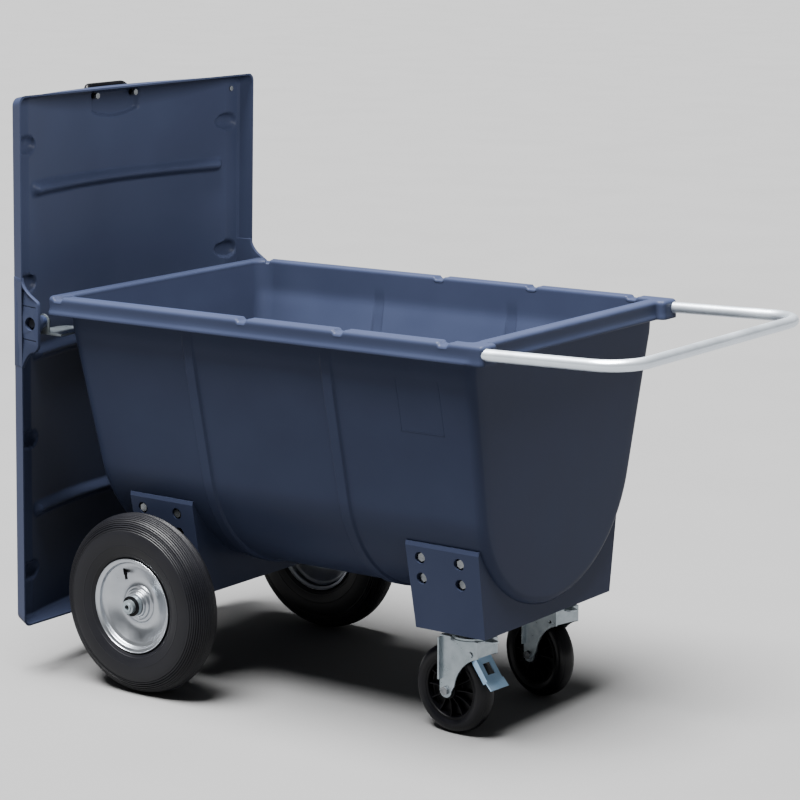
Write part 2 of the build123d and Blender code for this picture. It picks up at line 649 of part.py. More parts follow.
def make_tyre():
    """Pneumatic tyre, an open shell whose beads sit in the rim."""
    crown, shoulder, bulge, bead = WHEEL_RADIUS, WHEEL_RADIUS - 13, 156.0, RIM_FLANGE + 1
    outer = [
        ThreePointArc((shoulder, -35), (crown, 0), (shoulder, 35)),
        ThreePointArc((shoulder, 35), (bulge, TYRE_HALF), (bead, 31)),
        Line((bead, 31), (bead - 9, 29)),
        Line((bead - 9, 29), (bead - 9, 20)),
        ThreePointArc((bead - 9, 20), (bulge, 36), (shoulder - 6, 27)),
        ThreePointArc((shoulder - 6, 27), (crown - 9, 0), (shoulder - 6, -27)),
        ThreePointArc((shoulder - 6, -27), (bulge, -36), (bead - 9, -20)),
        Line((bead - 9, -20), (bead - 9, -29)),
        Line((bead - 9, -29), (bead, -31)),
        ThreePointArc((bead, -31), (bulge, -TYRE_HALF), (shoulder, -35)),
    ]
    return revolve(make_face(outer), Axis.Y)


def make_inner_tube():
    """Hollow rubber tube that fills the tyre."""
    middle = 148.0
    ring = Pos(middle, 0) * (Ellipse(42, 29) - Ellipse(40, 27))
    return revolve(ring, Axis.Y)


def make_wheel_rim():
    """Two pressed steel discs back to back: flange, barrel and dished web."""
    sheet = 2.0
    points = [(HUB_RADIUS + 0.1, 0.1), (52, 0.1), (66, 6), (84, 17), (95, 21), (98.5, 25), (98.5, 30.8),
              (106, 32.4), (RIM_FLANGE, 36)]
    inner = [(r, y + sheet) for r, y in points[:4]] + [(94, 23.4), (96.4, 26), (96.4, 32.6), (104, 34.4),
                                                        (RIM_FLANGE - 2, 37.4)]
    profile = Polyline(*points, *reversed(inner), close=True)
    half = revolve(make_face(profile.edges()), Axis.Y)
    back = mirror(half, Plane.XZ) - VALVE_TURN * valve_rod(-17, VALVE_RADIUS + 0.2, 60)
    return [half, back]


def make_hub():
    """Steel hub tube, with its bore open for the bearings."""
    return pipe((0, -HUB_HALF, 0), (0, 1, 0), HUB_RADIUS, HUB_BORE, 2 * HUB_HALF)


def make_bearings():
    """Flanged roller-bearing sleeves pressed into both ends of the hub."""
    sleeves = []
    for side in (-1, 1):
        start = side * (HUB_HALF - BEARING_DEPTH)
        body = rod((0, start, 0), (0, side, 0), HUB_BORE - 0.05, BEARING_DEPTH + FLANGE_GAP)
        body += rod((0, side * (HUB_HALF + FLANGE_GAP), 0), (0, side, 0), HUB_RADIUS, 3)
        body -= rod((0, -60, 0), (0, 1, 0), AXLE_RADIUS + RUN, 120)
        sleeves.append(body)
    return sleeves


def valve_rod(start, radius, length):
    """Cylinder on the valve's own axis, from a level below its foot."""
    place = [foot + start * lean for foot, lean in zip(VALVE_FOOT, VALVE_LEAN)]
    return rod(place, VALVE_LEAN, radius, length)


def make_valve():
    """Valve stem that points from the barrel towards the hub."""
    return VALVE_TURN * (valve_rod(0, VALVE_RADIUS, 22) + valve_rod(18.5, 3.0, 14))


# ---- castors ---------------------------------------------------------------------
def castor_place(shape, name, side):
    """Put a castor part, drawn about its swivel axis, under the front block."""
    return Pos(CASTOR_X, side * CASTOR_Y, 0) * Rot(0, 0, CASTOR_YAW[name]) * shape


def castor_bolt_places():
    """Corners of the top plate's bolt pattern."""
    return [(sx * 52.5, sy * 40.0) for sx in (-1, 1) for sy in (-1, 1)]


def make_top_plate(foot_z):
    """Top plate with its ball cup."""
    plate = Pos(0, 0, foot_z - PLATE_SHEET / 2) * Box(135, 110, PLATE_SHEET)
    plate = fillet(plate.edges().filter_by(Axis.Z), 10)
    plate += rod((0, 0, CROWN_TOP + 8), (0, 0, 1), 45, foot_z - PLATE_SHEET - CROWN_TOP - 8)
    plate -= rod((0, 0, CROWN_TOP), (0, 0, 1), 10.3, 40)
    for x, y in castor_bolt_places():
        plate -= rod((x, y, CROWN_TOP), (0, 0, 1), 5.1, 40)
    return plate


def make_plate_bolts(foot_z):
    """Bolts that hold the top plate against the block's foot."""
    seat_z = foot_z - PLATE_SHEET - 0.2
    return [bolt((x, y, seat_z), (0, 0, 1), 5.0, PLATE_SHEET + 14, 16, 6) for x, y in castor_bolt_places()]


def make_fork():
    """Pressed fork: round crown, two flared legs and a closed front above the pedal."""
    back = -TRAIL - 16
    crown = rod((0, 0, CROWN_FOOT), (0, 0, 1), CROWN_RADIUS, 5)
    crown += Pos((back + 40) / 2, 0, CROWN_FOOT + 2.5) * Box(40 - back, 2 * (LEG_INNER + LEG_SHEET), 5)
    crown += pipe((0, 0, CROWN_FOOT), (0, 0, 1), 44, 26, CROWN_TOP - CROWN_FOOT)
    edges = [
        Line((back, CROWN_FOOT + 5), (back, CASTOR_RADIUS)),
        ThreePointArc((back, CASTOR_RADIUS), (-TRAIL, CASTOR_RADIUS - 16), (-TRAIL + 16, CASTOR_RADIUS)),
        Line((-TRAIL + 16, CASTOR_RADIUS), (-22, 112)),
        ThreePointArc((-22, 112), (-4, 153), (WEB_FRONT, 184)),
        Line((WEB_FRONT, 184), (WEB_FRONT, CROWN_FOOT + 5)),
        Line((WEB_FRONT, CROWN_FOOT + 5), (back, CROWN_FOOT + 5)),
    ]
    fork = crown
    for side in (-1, 1):
        y = LEG_INNER if side > 0 else -LEG_INNER - LEG_SHEET
        fork += outline_xz(edges, y, LEG_SHEET)
        middle_z = (CROWN_FOOT + CASTOR_RADIUS) / 2 + 12
        fork += Pos(back + 2, side * (LEG_INNER + LEG_SHEET + 3), middle_z) * Box(
            4, 10, CROWN_FOOT - CASTOR_RADIUS - 24)
    web = Box(LEG_SHEET, 2 * LEG_INNER + 1, CROWN_FOOT + 5 - WEB_FOOT,
              align=(Align.MAX, Align.CENTER, Align.MIN))
    fork += Pos(WEB_FRONT, 0, WEB_FOOT) * web
    beak = Polyline((30, -16), (62, -9), (66, -3), (66, 9), (30, 20), close=True)
    fork += Pos(0, 0, CROWN_FOOT) * extrude(make_face(beak.edges()), 4)
    fork -= rod((-TRAIL, -60, CASTOR_RADIUS), (0, 1, 0), 6.1, 120)
    fork -= rod((BRAKE_PIVOT[0], -60, BRAKE_PIVOT[1]), (0, 1, 0), 4.1, 120)
    fork -= rod((0, 0, CROWN_FOOT - 1), (0, 0, 1), 10.1, 30)
    return fork


def make_kingpin():
    """Kingpin with its nut under the crown."""
    pin = rod((0, 0, CROWN_FOOT - 12), (0, 0, 1), 10, 38)
    return pin + hexagon((0, 0, CROWN_FOOT - 10.2), (0, 0, 1), 28, 10)


def make_balls():
    """Ring of bearing balls between the crown and the top plate."""
    ring = []
    for i in range(BALLS):
        turn = 2 * math.pi * i / BALLS
        ring.append(Pos(BALL_CIRCLE * math.cos(turn), BALL_CIRCLE * math.sin(turn), CROWN_TOP + 4) *
                    Sphere(BALL_RADIUS))
    return ring


def make_castor_tyre():
    """Solid rubber tyre with rounded shoulders."""
    r, h, inner = CASTOR_RADIUS, CASTOR_HALF, CASTOR_TREAD
    edges = [
        Line((inner, -20), (82, -h)),
        ThreePointArc((82, -h), (94, -19), (r - 1, -8)),
        ThreePointArc((r - 1, -8), (r, 0), (r - 1, 8)),
        ThreePointArc((r - 1, 8), (94, 19), (82, h)),
        Line((82, h), (inner, 20)),
        Line((inner, 20), (inner, -20)),
    ]
    return revolve(make_face(edges), Axis.Y)


def make_castor_core():
    """Spoked plastic wheel centre: rim, web, hub and radial ribs."""
    outer = CASTOR_TREAD - 0.1
    profile = Polyline((14.1, -CASTOR_HUB_HALF), (20, -CASTOR_HUB_HALF), (21, -3), (61, -3), (63, -19),
                       (outer, -19), (outer, 19), (63, 19), (61, 3), (21, 3), (20, CASTOR_HUB_HALF),
                       (14.1, CASTOR_HUB_HALF), close=True)
    core = revolve(make_face(profile.edges()), Axis.Y)
    for i in range(12):
        rib = Pos(41, 0, 0) * Box(44, 30, 3)
        core += Rot(0, 30 * i, 0) * rib
    return core


def make_castor_bearing():
    """Roller cage between the wheel centre and the axle sleeve."""
    return pipe((0, -24, 0), (0, 1, 0), 14.0, 9.5 + RUN, 48)


def make_castor_sleeve():
    """Steel sleeve clamped between the fork's legs."""
    return pipe((-TRAIL, -LEG_INNER + 0.1, CASTOR_RADIUS), (0, 1, 0), 9.5, 6.1, 2 * LEG_INNER - 0.2)


def castor_wheel_place(shape):
    """Move a castor wheel part from its own centre to the fork's axle."""
    return Pos(-TRAIL, 0, CASTOR_RADIUS) * shape


def make_brake_pedal():
    """Foot pedal: a sleeve on the pivot pin and a plate with a square window."""
    px, pz = BRAKE_PIVOT
    dx, dz = BRAKE_TOE[0] - px, BRAKE_TOE[1] - pz
    length = math.hypot(dx, dz)
    slope = math.degrees(math.atan2(-dz, dx))
    plate = Pos(length / 2 + 3, 0, 0) * Box(length - 6, 2 * BRAKE_HALF, 3)
    plate += Pos(length - 9, 0, 0) * Box(18, 2 * BRAKE_HALF + 8, 3)
    plate -= Pos(length * 0.45, 0, 0) * Box(*BRAKE_WINDOW, 10)
    pedal = Pos(px, 0, pz) * Rot(0, slope, 0) * plate
    pedal += rod((px, -BRAKE_HALF, pz), (0, 1, 0), 7, 2 * BRAKE_HALF)
    return pedal - rod((px, -60, pz), (0, 1, 0), 4 + RUN, 120)


def make_brake_pin():
    """Pin through both legs of the fork for the pedal."""
    px, pz = BRAKE_PIVOT
    reach = LEG_INNER + LEG_SHEET
    pin = rod((px, -reach - 2, pz), (0, 1, 0), 4, 2 * reach + 4)
    for side in (-1, 1):
        pin += rod((px, side * (reach + 0.2), pz), (0, side, 0), 6.5, 2.5)
    return pin


def build_cart_body():
    """Everything that doesn't move, apart from the castors' own parts."""
    tub_outside = on_tub(tub_body(-0.1, RIM_TOP))
    save("tub", make_tub())
    front = make_block(FRONT_BLOCK, tub_outside)
    for side in (-1, 1):
        for x, y in castor_bolt_places():
            front -= rod((CASTOR_X + x, side * CASTOR_Y + y, FRONT_BLOCK["foot_z"] - 1), (0, 0, 1), 5.2, 16)
    save("front_foot_block", front)
    rear = make_block(REAR_BLOCK, tub_outside)
    for dx in (-SADDLE_BOLT_REACH, SADDLE_BOLT_REACH):
        for y in (-SADDLE_Y, SADDLE_Y):
            rear -= rod((WHEEL_X + dx, y, REAR_BLOCK["foot_z"] - 1), (0, 0, 1), 4.2, 10)
    save("rear_axle_block", rear)
    front_bolts, front_washers, front_nuts = block_fasteners(FRONT_BLOCK)
    rear_bolts, rear_washers, rear_nuts = block_fasteners(REAR_BLOCK)
    save("front_block_bolts", *front_bolts)
    save("rear_block_bolts", *rear_bolts)
    save("block_washers", *front_washers, *rear_washers)
    save("block_nuts", *front_nuts, *rear_nuts)
    save("handle_hoop", make_handle())
    save("handle_screws", *make_handle_screws())
    save("lid_brackets", *make_brackets())
    save("lid_bracket_bolts", *make_bracket_bolts())
    bolts, spacers, nuts = make_pivot_hardware()
    save("lid_pivot_bolts", *bolts)
    save("lid_pivot_spacers", *spacers)
    save("lid_pivot_nuts", *nuts)


def build_lid():
    """The lid and what is fastened to it."""
    save("lid_shell", make_lid())
    save("lid_pivot_bushes", *make_pivot_bushes())
    save("lid_grip", make_grip())
    save("lid_grip_bolts", *make_grip_bolts())
    save("lid_corner_screw", make_corner_screw())


def build_rear_wheels():
    """The axle with its clamps and collars, and both pneumatic wheels."""
    save("rear_axle", make_axle())
    saddles, saddle_bolts = make_axle_saddles()
    save("axle_saddles", *saddles)
    save("axle_saddle_bolts", *saddle_bolts)
    collars, pins = make_axle_collars()
    save("axle_collars", *collars)
    save("axle_split_pins", *pins)
    for name, side in SIDES:
        save(f"tyre_{name}", wheel_place(make_tyre(), side))
        save(f"inner_tube_{name}", wheel_place(make_inner_tube(), side))
        save(f"wheel_disc_{name}", *[wheel_place(half, side) for half in make_wheel_rim()])
        save(f"wheel_hub_{name}", wheel_place(make_hub(), side))
        save(f"wheel_bearings_{name}", *[wheel_place(b, side) for b in make_bearings()])
        save(f"valve_{name}", wheel_place(make_valve(), side))


def build_castors():
    """Both swivel castors; the left one carries the brake."""
    foot_z = FRONT_BLOCK["foot_z"] - 0.2
    plates, plate_bolts = [], []
    for name, side in SIDES:
        centre = Pos(CASTOR_X, side * CASTOR_Y, 0)
        plates.append(centre * make_top_plate(foot_z))
        plate_bolts += [centre * b for b in make_plate_bolts(foot_z)]
        save(f"castor_fork_{name}", castor_place(make_fork(), name, side))
        save(f"castor_kingpin_{name}", castor_place(make_kingpin(), name, side))
        save(f"castor_balls_{name}", *[castor_place(b, name, side) for b in make_balls()])
        save(f"castor_sleeve_{name}", castor_place(make_castor_sleeve(), name, side))
        reach = LEG_INNER + LEG_SHEET + 0.2
        axle = bolt((-TRAIL, -reach, CASTOR_RADIUS), (0, 1, 0), 6, 2 * reach + 12, 18, 7)
        end = nut((-TRAIL, reach, CASTOR_RADIUS), (0, 1, 0), 6.1, 18, 9)
        save(f"castor_axle_bolt_{name}", castor_place(axle, name, side))
        save(f"castor_axle_nut_{name}", castor_place(end, name, side))
        for node, part in (("tyre", make_castor_tyre()), ("core", make_castor_core()),
                           ("bearing", make_castor_bearing())):
            save(f"castor_{node}_{name}", castor_place(castor_wheel_place(part), name, side))
    save("castor_top_plates", *plates)
    save("castor_plate_bolts", *plate_bolts)
    save("brake_pedal", castor_place(make_brake_pedal(), "left", -1))
    save("brake_pin", castor_place(make_brake_pin(), "left", -1))


os.makedirs("parts", exist_ok=True)
build_cart_body()
build_lid()
build_rear_wheels()
build_castors()
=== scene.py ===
import json
import math

import bmesh
import bpy
from mathutils import Matrix, Vector


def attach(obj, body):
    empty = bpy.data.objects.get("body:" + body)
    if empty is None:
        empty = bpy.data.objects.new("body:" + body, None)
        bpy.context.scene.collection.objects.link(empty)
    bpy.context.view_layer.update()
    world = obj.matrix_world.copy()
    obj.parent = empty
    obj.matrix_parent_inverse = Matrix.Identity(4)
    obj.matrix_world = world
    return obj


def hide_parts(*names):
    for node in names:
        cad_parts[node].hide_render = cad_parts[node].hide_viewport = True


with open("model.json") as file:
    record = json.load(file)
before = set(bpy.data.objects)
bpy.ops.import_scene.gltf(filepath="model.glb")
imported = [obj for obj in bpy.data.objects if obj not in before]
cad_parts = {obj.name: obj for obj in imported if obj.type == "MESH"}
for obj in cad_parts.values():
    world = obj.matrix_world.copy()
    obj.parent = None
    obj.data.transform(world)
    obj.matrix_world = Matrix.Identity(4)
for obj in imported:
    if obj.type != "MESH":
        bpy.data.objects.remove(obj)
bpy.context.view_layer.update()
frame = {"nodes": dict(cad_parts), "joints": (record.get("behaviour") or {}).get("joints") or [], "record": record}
nodes = frame["nodes"]
MM = 0.001

# ---- sizes of the cart, in millimetres, as the part is built -----------------------
FRONT_X = 506.1
RIM_LENGTH, RIM_WIDTH, RIM_TOP, RIM_DEPTH = 1192.0, 764.0, 897.0, 42.0
RIM_CORNER, RIM_SETBACK, RIM_RIDGE, RIM_INNER_DROP = 24.0, 2.8, 9.0, 9.5
EAR_WIDTH, EAR_REACH, EAR_OUTER, EAR_INNER, EAR_FOOT = 62.0, 18.0, 12.5, 13.0, 4.5
TUB_SLOPE = math.radians(-0.472)
WALL = 7.0
BELLY_RADIUS, BELLY_Z, SIDE_DRAFT, SIDE_HALF = 295.0, 572.0, math.radians(11.4), 352.0
FRONT_WALL_X, FRONT_DRAFT = FRONT_X - 44.5, math.radians(3.0)
REAR_WALL_X, REAR_DRAFT = FRONT_X - 1161.0, math.radians(3.3)
FRONT_ROUND, REAR_ROUND = 20.0, 44.0
NOTCHES_X, NOTCH_DEPTH = (FRONT_X - 101.0, FRONT_X - 367.0, FRONT_X - 625.0, FRONT_X - 1153.0), 6.0
RIBS_X, RIB_HALF, RIB_HEIGHT = (FRONT_X - 798.0, FRONT_X - 420.0), 17.0, 6.0
RIB_FADE = (745.0, 862.0)
BOLT_GROUPS = ((FRONT_X - 186.0, (220.0, 174.0)), (FRONT_X - 957.0, (226.0, 180.0)))
BOLTS_Z, BOLT_PITCH, SEAT_RADIUS = (406.0, 360.0), 100.0, 15.0
BADGE_X, BADGE_Z, BADGE_LINE, BADGE_LIFT = (262.0, 372.0), (690.0, 806.0), 2.0, (-0.5, 0.4)
SIDE_FOOT = (289.2, 513.7)       # y and z where the slanted side leaves the round belly

LID_LEAN = math.radians(1.32)
LID_UP, LID_DOWN, LID_HALF, LID_LIP_HALF = 506.6, 711.7, 393.2, 408.0
LID_FLARE, LID_SKIRT, LID_BACK, LID_WALL, LID_CORNER, LID_FILLET = 8.0, 38.0, 63.8, 4.0, 18.0, 4.0
LID_CROWN, LID_CROWN_HALF = 52.0, 345.0
LID_RIBS_Z, LID_RIB_HALF, LID_RIB_RISE, LID_RIB_END = (287.0, -88.0, -454.0), 18.0, 18.0, (312.0, 336.0)
DIMPLES_Z, DIMPLE_Y, DIMPLE_SINK = (391.0, 77.0, -284.0, -594.0), 350.0, 15.0
DIMPLE_HALF_Y, DIMPLE_HALF_Z = 35.0, 20.0
POCKET_FOOT, POCKET_SIDE, POCKET_SINK = 424.0, (74.0, 84.0), 11.0
EAR_FRONT, EAR_PLATE, EAR_BEVEL = 24.4, 9.0, 1.6
BOSS_RADIUS, BOSS_DEPTH, RECESS_RADIUS, PIVOT_HOLE = 22.0, 17.5, 15.0, 11.0
EAR_LINES_Z, EAR_LINE_HALF, EAR_LINE_SINK = (38.0, -38.0), 1.3, 1.4

CASTOR_TREAD, CASTOR_GROOVES, CORE_RIBS = 69.0, (13.5, -13.5), 12
TREAD_PITCH, TREAD_SINK = 5.2, 2.1
PEDAL_SLOPE = math.radians(54.16)
YAW = {"left": math.radians(-5.0), "right": math.radians(-14.0)}
SIDES = (("left", -1), ("right", 1))

# ---- floor, light and camera, in metres --------------------------------------------
FLOOR_REACH = 90.0
KEY_DIRECTION, KEY_ANGLE, KEY_ENERGY = (0.06, 0.20, -0.95), math.radians(38), 30.0
FILL_AT, FILL_DIRECTION, FILL_SIZE, FILL_ENERGY = (0.40, -0.05, 1.75), (-1.08, 0.05, -0.95), (0.9, 0.6), 36.0
CAMERA_AT, CAMERA_BACK, CAMERA_LENS = (3.5593, -4.8268, 1.8608), (0.5797, -0.7912, 0.1948), 124.12


def joint_place(name):
    """A joint's point in millimetres."""
    for joint in frame["joints"]:
        if joint["name"] == name:
            return Vector(joint["pos_m"]) / MM
    raise ValueError(name)


PIVOT = joint_place("lid_tilt")


# ---- materials ---------------------------------------------------------------------
def new_material(name):
    """A material with its node tree, Principled shader and object coordinates."""
    mat = bpy.data.materials.new(name)
    mat.use_nodes = True
    tree = mat.node_tree
    shader = tree.nodes["Principled BSDF"]
    coord = tree.nodes.new("ShaderNodeTexCoord")
    return mat, tree, shader, coord


def noise(tree, coord, scale, detail):
    """A noise texture in object space."""
    tex = tree.nodes.new("ShaderNodeTexNoise")
    tex.inputs["Scale"].default_value = scale
    tex.inputs["Detail"].default_value = detail
    tree.links.new(coord.outputs["Object"], tex.inputs["Vector"])
    return tex


def ramp(tree, source, low, high):
    """Two-colour ramp over a texture's 0.3 to 0.7."""
    node = tree.nodes.new("ShaderNodeValToRGB")
    node.color_ramp.elements[0].position = 0.3
    node.color_ramp.elements[1].position = 0.7
    node.color_ramp.elements[0].color = (*low, 1)
    node.color_ramp.elements[1].color = (*high, 1)
    tree.links.new(source, node.inputs["Fac"])
    return node


def to_range(tree, source, low, high):
    """Map a texture's 0.3 to 0.7 onto a range."""
    node = tree.nodes.new("ShaderNodeMapRange")
    node.inputs["From Min"].default_value = 0.3
    node.inputs["From Max"].default_value = 0.7
    node.inputs["To Min"].default_value = low
    node.inputs["To Max"].default_value = high
    tree.links.new(source, node.inputs["Value"])
    return node.outputs["Result"]


def add_bump(tree, shader, source, distance):
    """Bump from a height, in metres."""
    bump = tree.nodes.new("ShaderNodeBump")
    bump.inputs["Distance"].default_value = distance
    bump.inputs["Strength"].default_value = 1.0
    tree.links.new(source, bump.inputs["Height"])
    tree.links.new(bump.outputs["Normal"], shader.inputs["Normal"])


def surface(name, low, high, rough, metal=0.0, scale=9.0, grain=600.0, bump=0.00006, specular=0.5):
    """Finish with broad colour variation, varied roughness and a fine grain."""
    mat, tree, shader, coord = new_material(name)
    broad = noise(tree, coord, scale, 5.0)
    colours = ramp(tree, broad.outputs["Fac"], low, high)
    tree.links.new(colours.outputs["Color"], shader.inputs["Base Color"])
    tree.links.new(to_range(tree, broad.outputs["Fac"], *rough), shader.inputs["Roughness"])
    shader.inputs["Metallic"].default_value = metal
    shader.inputs["Specular IOR Level"].default_value = specular
    fine = noise(tree, coord, grain, 2.0)
    add_bump(tree, shader, fine.outputs["Fac"], bump)
    return mat


MATS = {
    "navy_plastic": surface("navy_plastic", (0.0190, 0.0240, 0.0455), (0.0222, 0.0280, 0.0520),
                            (0.34, 0.44), scale=6, grain=750, bump=0.00005, specular=0.05),
    "galvanised_tube": surface("galvanised_tube", (0.63, 0.69, 0.76), (0.73, 0.79, 0.86), (0.30, 0.40),
                               metal=0.85, scale=12, grain=500, bump=0.00002),
    "zinc_steel": surface("zinc_steel", (0.23, 0.27, 0.29), (0.34, 0.38, 0.41), (0.26, 0.38),
                          metal=0.8, scale=45, grain=700, bump=0.00003),
    "fastener_zinc": surface("fastener_zinc", (0.12, 0.13, 0.14), (0.22, 0.23, 0.24), (0.18, 0.28),
                             metal=0.85, scale=90, grain=900, bump=0.00001),
    "wheel_steel": surface("wheel_steel", (0.36, 0.38, 0.41), (0.46, 0.48, 0.51), (0.27, 0.36),
                           metal=1.0, scale=16, grain=420, bump=0.00002),
    "blue_zinc": surface("blue_zinc", (0.28, 0.45, 0.64), (0.38, 0.55, 0.74), (0.30, 0.42),
                         metal=0.85, scale=40, grain=600, bump=0.00002),
    "tyre_rubber": surface("tyre_rubber", (0.0016, 0.0017, 0.0030), (0.0030, 0.0031, 0.0050), (0.38, 0.52),
                           scale=14, grain=900, bump=0.00005, specular=0.24),
    "tube_rubber": surface("tube_rubber", (0.015, 0.015, 0.015), (0.025, 0.025, 0.025), (0.6, 0.7)),
    "castor_rubber": surface("castor_rubber", (0.0008, 0.0008, 0.0016), (0.0015, 0.0015, 0.0028),
                             (0.30, 0.42), scale=20, grain=700, bump=0.00004, specular=0.2),
    "black_plastic": surface("black_plastic", (0.0007, 0.0007, 0.0012), (0.0013, 0.0013, 0.0020),
                             (0.34, 0.46), scale=25, grain=900, bump=0.00003, specular=0.12),
    "bush_plastic": surface("bush_plastic", (0.012, 0.018, 0.045), (0.020, 0.028, 0.062), (0.4, 0.5)),
    "black_steel": surface("black_steel", (0.003, 0.0035, 0.006), (0.005, 0.006, 0.010), (0.46, 0.58),
                           scale=80, specular=0.1),
    "bearing_steel": surface("bearing_steel", (0.40, 0.40, 0.41), (0.55, 0.55, 0.56), (0.2, 0.3), metal=1.0),
}


# ---- mesh helpers ------------------------------------------------------------------
def new_piece(name, verts, faces, slot, body, keep_angle, replaced=()):
    """A mesh piece from millimetre points, smooth but for its sharp edges, with its finish and body."""
    mesh = bpy.data.meshes.new(name)
    mesh.from_pydata([Vector(v) * MM for v in verts], [], faces)
    work = bmesh.new()
    work.from_mesh(mesh)
    bmesh.ops.remove_doubles(work, verts=work.verts, dist=2e-6)
    bmesh.ops.recalc_face_normals(work, faces=work.faces)
    work.to_mesh(mesh)
    work.free()
    obj = bpy.data.objects.new(name, mesh)
    bpy.context.scene.collection.objects.link(obj)
    shade(mesh, keep_angle)
    mesh.materials.append(MATS[slot])
    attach(obj, body)
    if replaced:
        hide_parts(*replaced)


def shade(mesh, keep_angle):
    """Smooth shading, with edges sharper than an angle in degrees kept."""
    for polygon in mesh.polygons:
        polygon.use_smooth = True
    mesh.set_sharp_from_angle(angle=math.radians(keep_angle))


def grid_faces(rows, columns, close_rows=False, close_columns=False, start=0):
    """Quads of a grid whose points are stored row by row."""
    faces = []
    for i in range(rows if close_rows else rows - 1):
        for j in range(columns if close_columns else columns - 1):
            a, b = i, (i + 1) % rows
            c, d = j, (j + 1) % columns
            faces.append((start + a * columns + c, start + b * columns + c,
                          start + b * columns + d, start + a * columns + d))
    return faces


def smooth_step(low, high, value):
    """0 below low, 1 above high and smooth between."""
    t = min(max((value - low) / (high - low), 0.0), 1.0)
    return t * t * (3 - 2 * t)


def bump_shape(offset, half, soft):
    """A flat-topped bump: 1 within half less soft, 0 outside half."""
    return 1.0 - smooth_step(half - soft, half, abs(offset))


def steps(low, high, count):
    """Evenly spaced numbers, both ends included."""
    return [low + (high - low) * i / (count - 1) for i in range(count)]


def on_tub(x, y, z):
    """The tub's slope, about the handle end of its rim."""
    dx, dz = x - FRONT_X, z - RIM_TOP
    cos, sin = math.cos(TUB_SLOPE), math.sin(TUB_SLOPE)
    return (FRONT_X + dx * cos + dz * sin, y, RIM_TOP - dx * sin + dz * cos)


# ---- tub ---------------------------------------------------------------------------
def u_section(inset, top):
    """(y, z, outward y, outward z) round the tub's U section, from the left top to the right top."""
    radius, half = BELLY_RADIUS - inset, SIDE_HALF - inset
    turn_y = radius * math.cos(SIDE_DRAFT)
    turn_z = BELLY_Z - radius * math.sin(SIDE_DRAFT)
    upright = turn_z + (half - turn_y) / math.tan(SIDE_DRAFT)
    right = []
    for z in steps(top, turn_z, 40):
        blend = smooth_step(upright - 30, upright + 30, z)
        slanted = turn_y + (z - turn_z) * math.tan(SIDE_DRAFT)
        y = min(slanted, half) if blend in (0.0, 1.0) else (1 - blend) * min(slanted, half) + blend * half
        slope = SIDE_DRAFT * (1 - blend)
        right.append((y, z, math.cos(slope), -math.sin(slope)))
    arc = []
    for a in steps(-SIDE_DRAFT, -math.pi / 2, 64)[1:]:
        arc.append((radius * math.cos(a), BELLY_Z + radius * math.sin(a), math.cos(a), math.sin(a)))
    half_section = right + arc
    left = [(-y, z, -ny, nz) for y, z, ny, nz in half_section]
    return left + list(reversed(half_section[:-1]))


def rib_height(x, z):
    """How far the hollow ribs stand out; they fade in below the rim."""
    grow = 1.0 - smooth_step(*RIB_FADE, z)
    return sum(RIB_HEIGHT * grow * bump_shape(x - at, RIB_HALF, 6.0) for at in RIBS_X)


def tub_shell(inset, top):
    """Points and faces of the tub's outer shape, or of its cavity, as one closed-ended grid."""
    section = u_section(inset, top)
    front_round, rear_round = FRONT_ROUND - inset, REAR_ROUND - inset
    span_lo, span_hi = REAR_WALL_X + inset + rear_round, FRONT_WALL_X - inset - front_round
    middle = sorted(set(steps(span_lo, span_hi, 90)[1:-1]
                        + [at + off for at in RIBS_X for off in steps(-24, 24, 33)]))
    # rows of (kind, distance along, pull inwards) over the rear round, the middle and the front round
    rows = [("rear", rear_round * (1 - math.cos(a)), rear_round * (1 - math.sin(a)))
            for a in steps(0, math.pi / 2, 10)]
    rows += [("middle", x, 0.0) for x in middle]
    rows += [("front", front_round * (1 - math.cos(a)), front_round * (1 - math.sin(a)))
             for a in reversed(steps(0, math.pi / 2, 8))]

    def place(kind, value, pull, y, z, ny, nz):
        rear = REAR_WALL_X + inset + math.tan(REAR_DRAFT) * (RIM_TOP - z)
        front = FRONT_WALL_X - inset - math.tan(FRONT_DRAFT) * (RIM_TOP - z)
        if kind == "rear":
            x = rear + value
        elif kind == "front":
            x = front - value
        else:
            t = (value - span_lo) / (span_hi - span_lo)
            low_skew = (rear - REAR_WALL_X - inset) * max(0.0, 1 - t * 6)
            high_skew = (front - FRONT_WALL_X + inset) * max(0.0, 1 - (1 - t) * 6)
            x = value + low_skew + high_skew
        out = rib_height(x, z) - pull
        return on_tub(x, y + ny * out, z + nz * out if z < top - 40 else z)

    verts, faces = [], []
    for kind, value, pull in rows:
        for y, z, ny, nz in section:
            verts.append(place(kind, value, pull, y, z, ny, nz))
    columns = len(section)
    faces += grid_faces(len(rows), columns)
    for kind, row in (("rear", 0), ("front", len(rows) - 1)):
        edge = [verts[row * columns + j] for j in range(columns)]
        half = columns // 2
        across = 25
        start = len(verts)
        for j in range(half + 1):
            a, b = edge[j], edge[columns - 1 - j]
            for k in range(across):
                t = k / (across - 1)
                verts.append(tuple(a[i] + (b[i] - a[i]) * t for i in range(3)))
        faces += grid_faces(half + 1, across, start=start)
    return verts, faces


def near_inner(x, y):
    """Nearest point of the cavity's mouth, a rounded rectangle, to a point outside it."""
    x0, x1 = REAR_WALL_X + WALL, FRONT_WALL_X - WALL
    half = SIDE_HALF - WALL
    radius = (REAR_ROUND if x < 0 else FRONT_ROUND) - WALL
    cx = min(max(x, x0 + radius), x1 - radius)
    cy = min(max(y, -half + radius), half - radius)
    dx, dy = x - cx, y - cy
    size = math.hypot(dx, dy) or 1.0
    return cx + dx / size * radius, cy + dy / size * radius


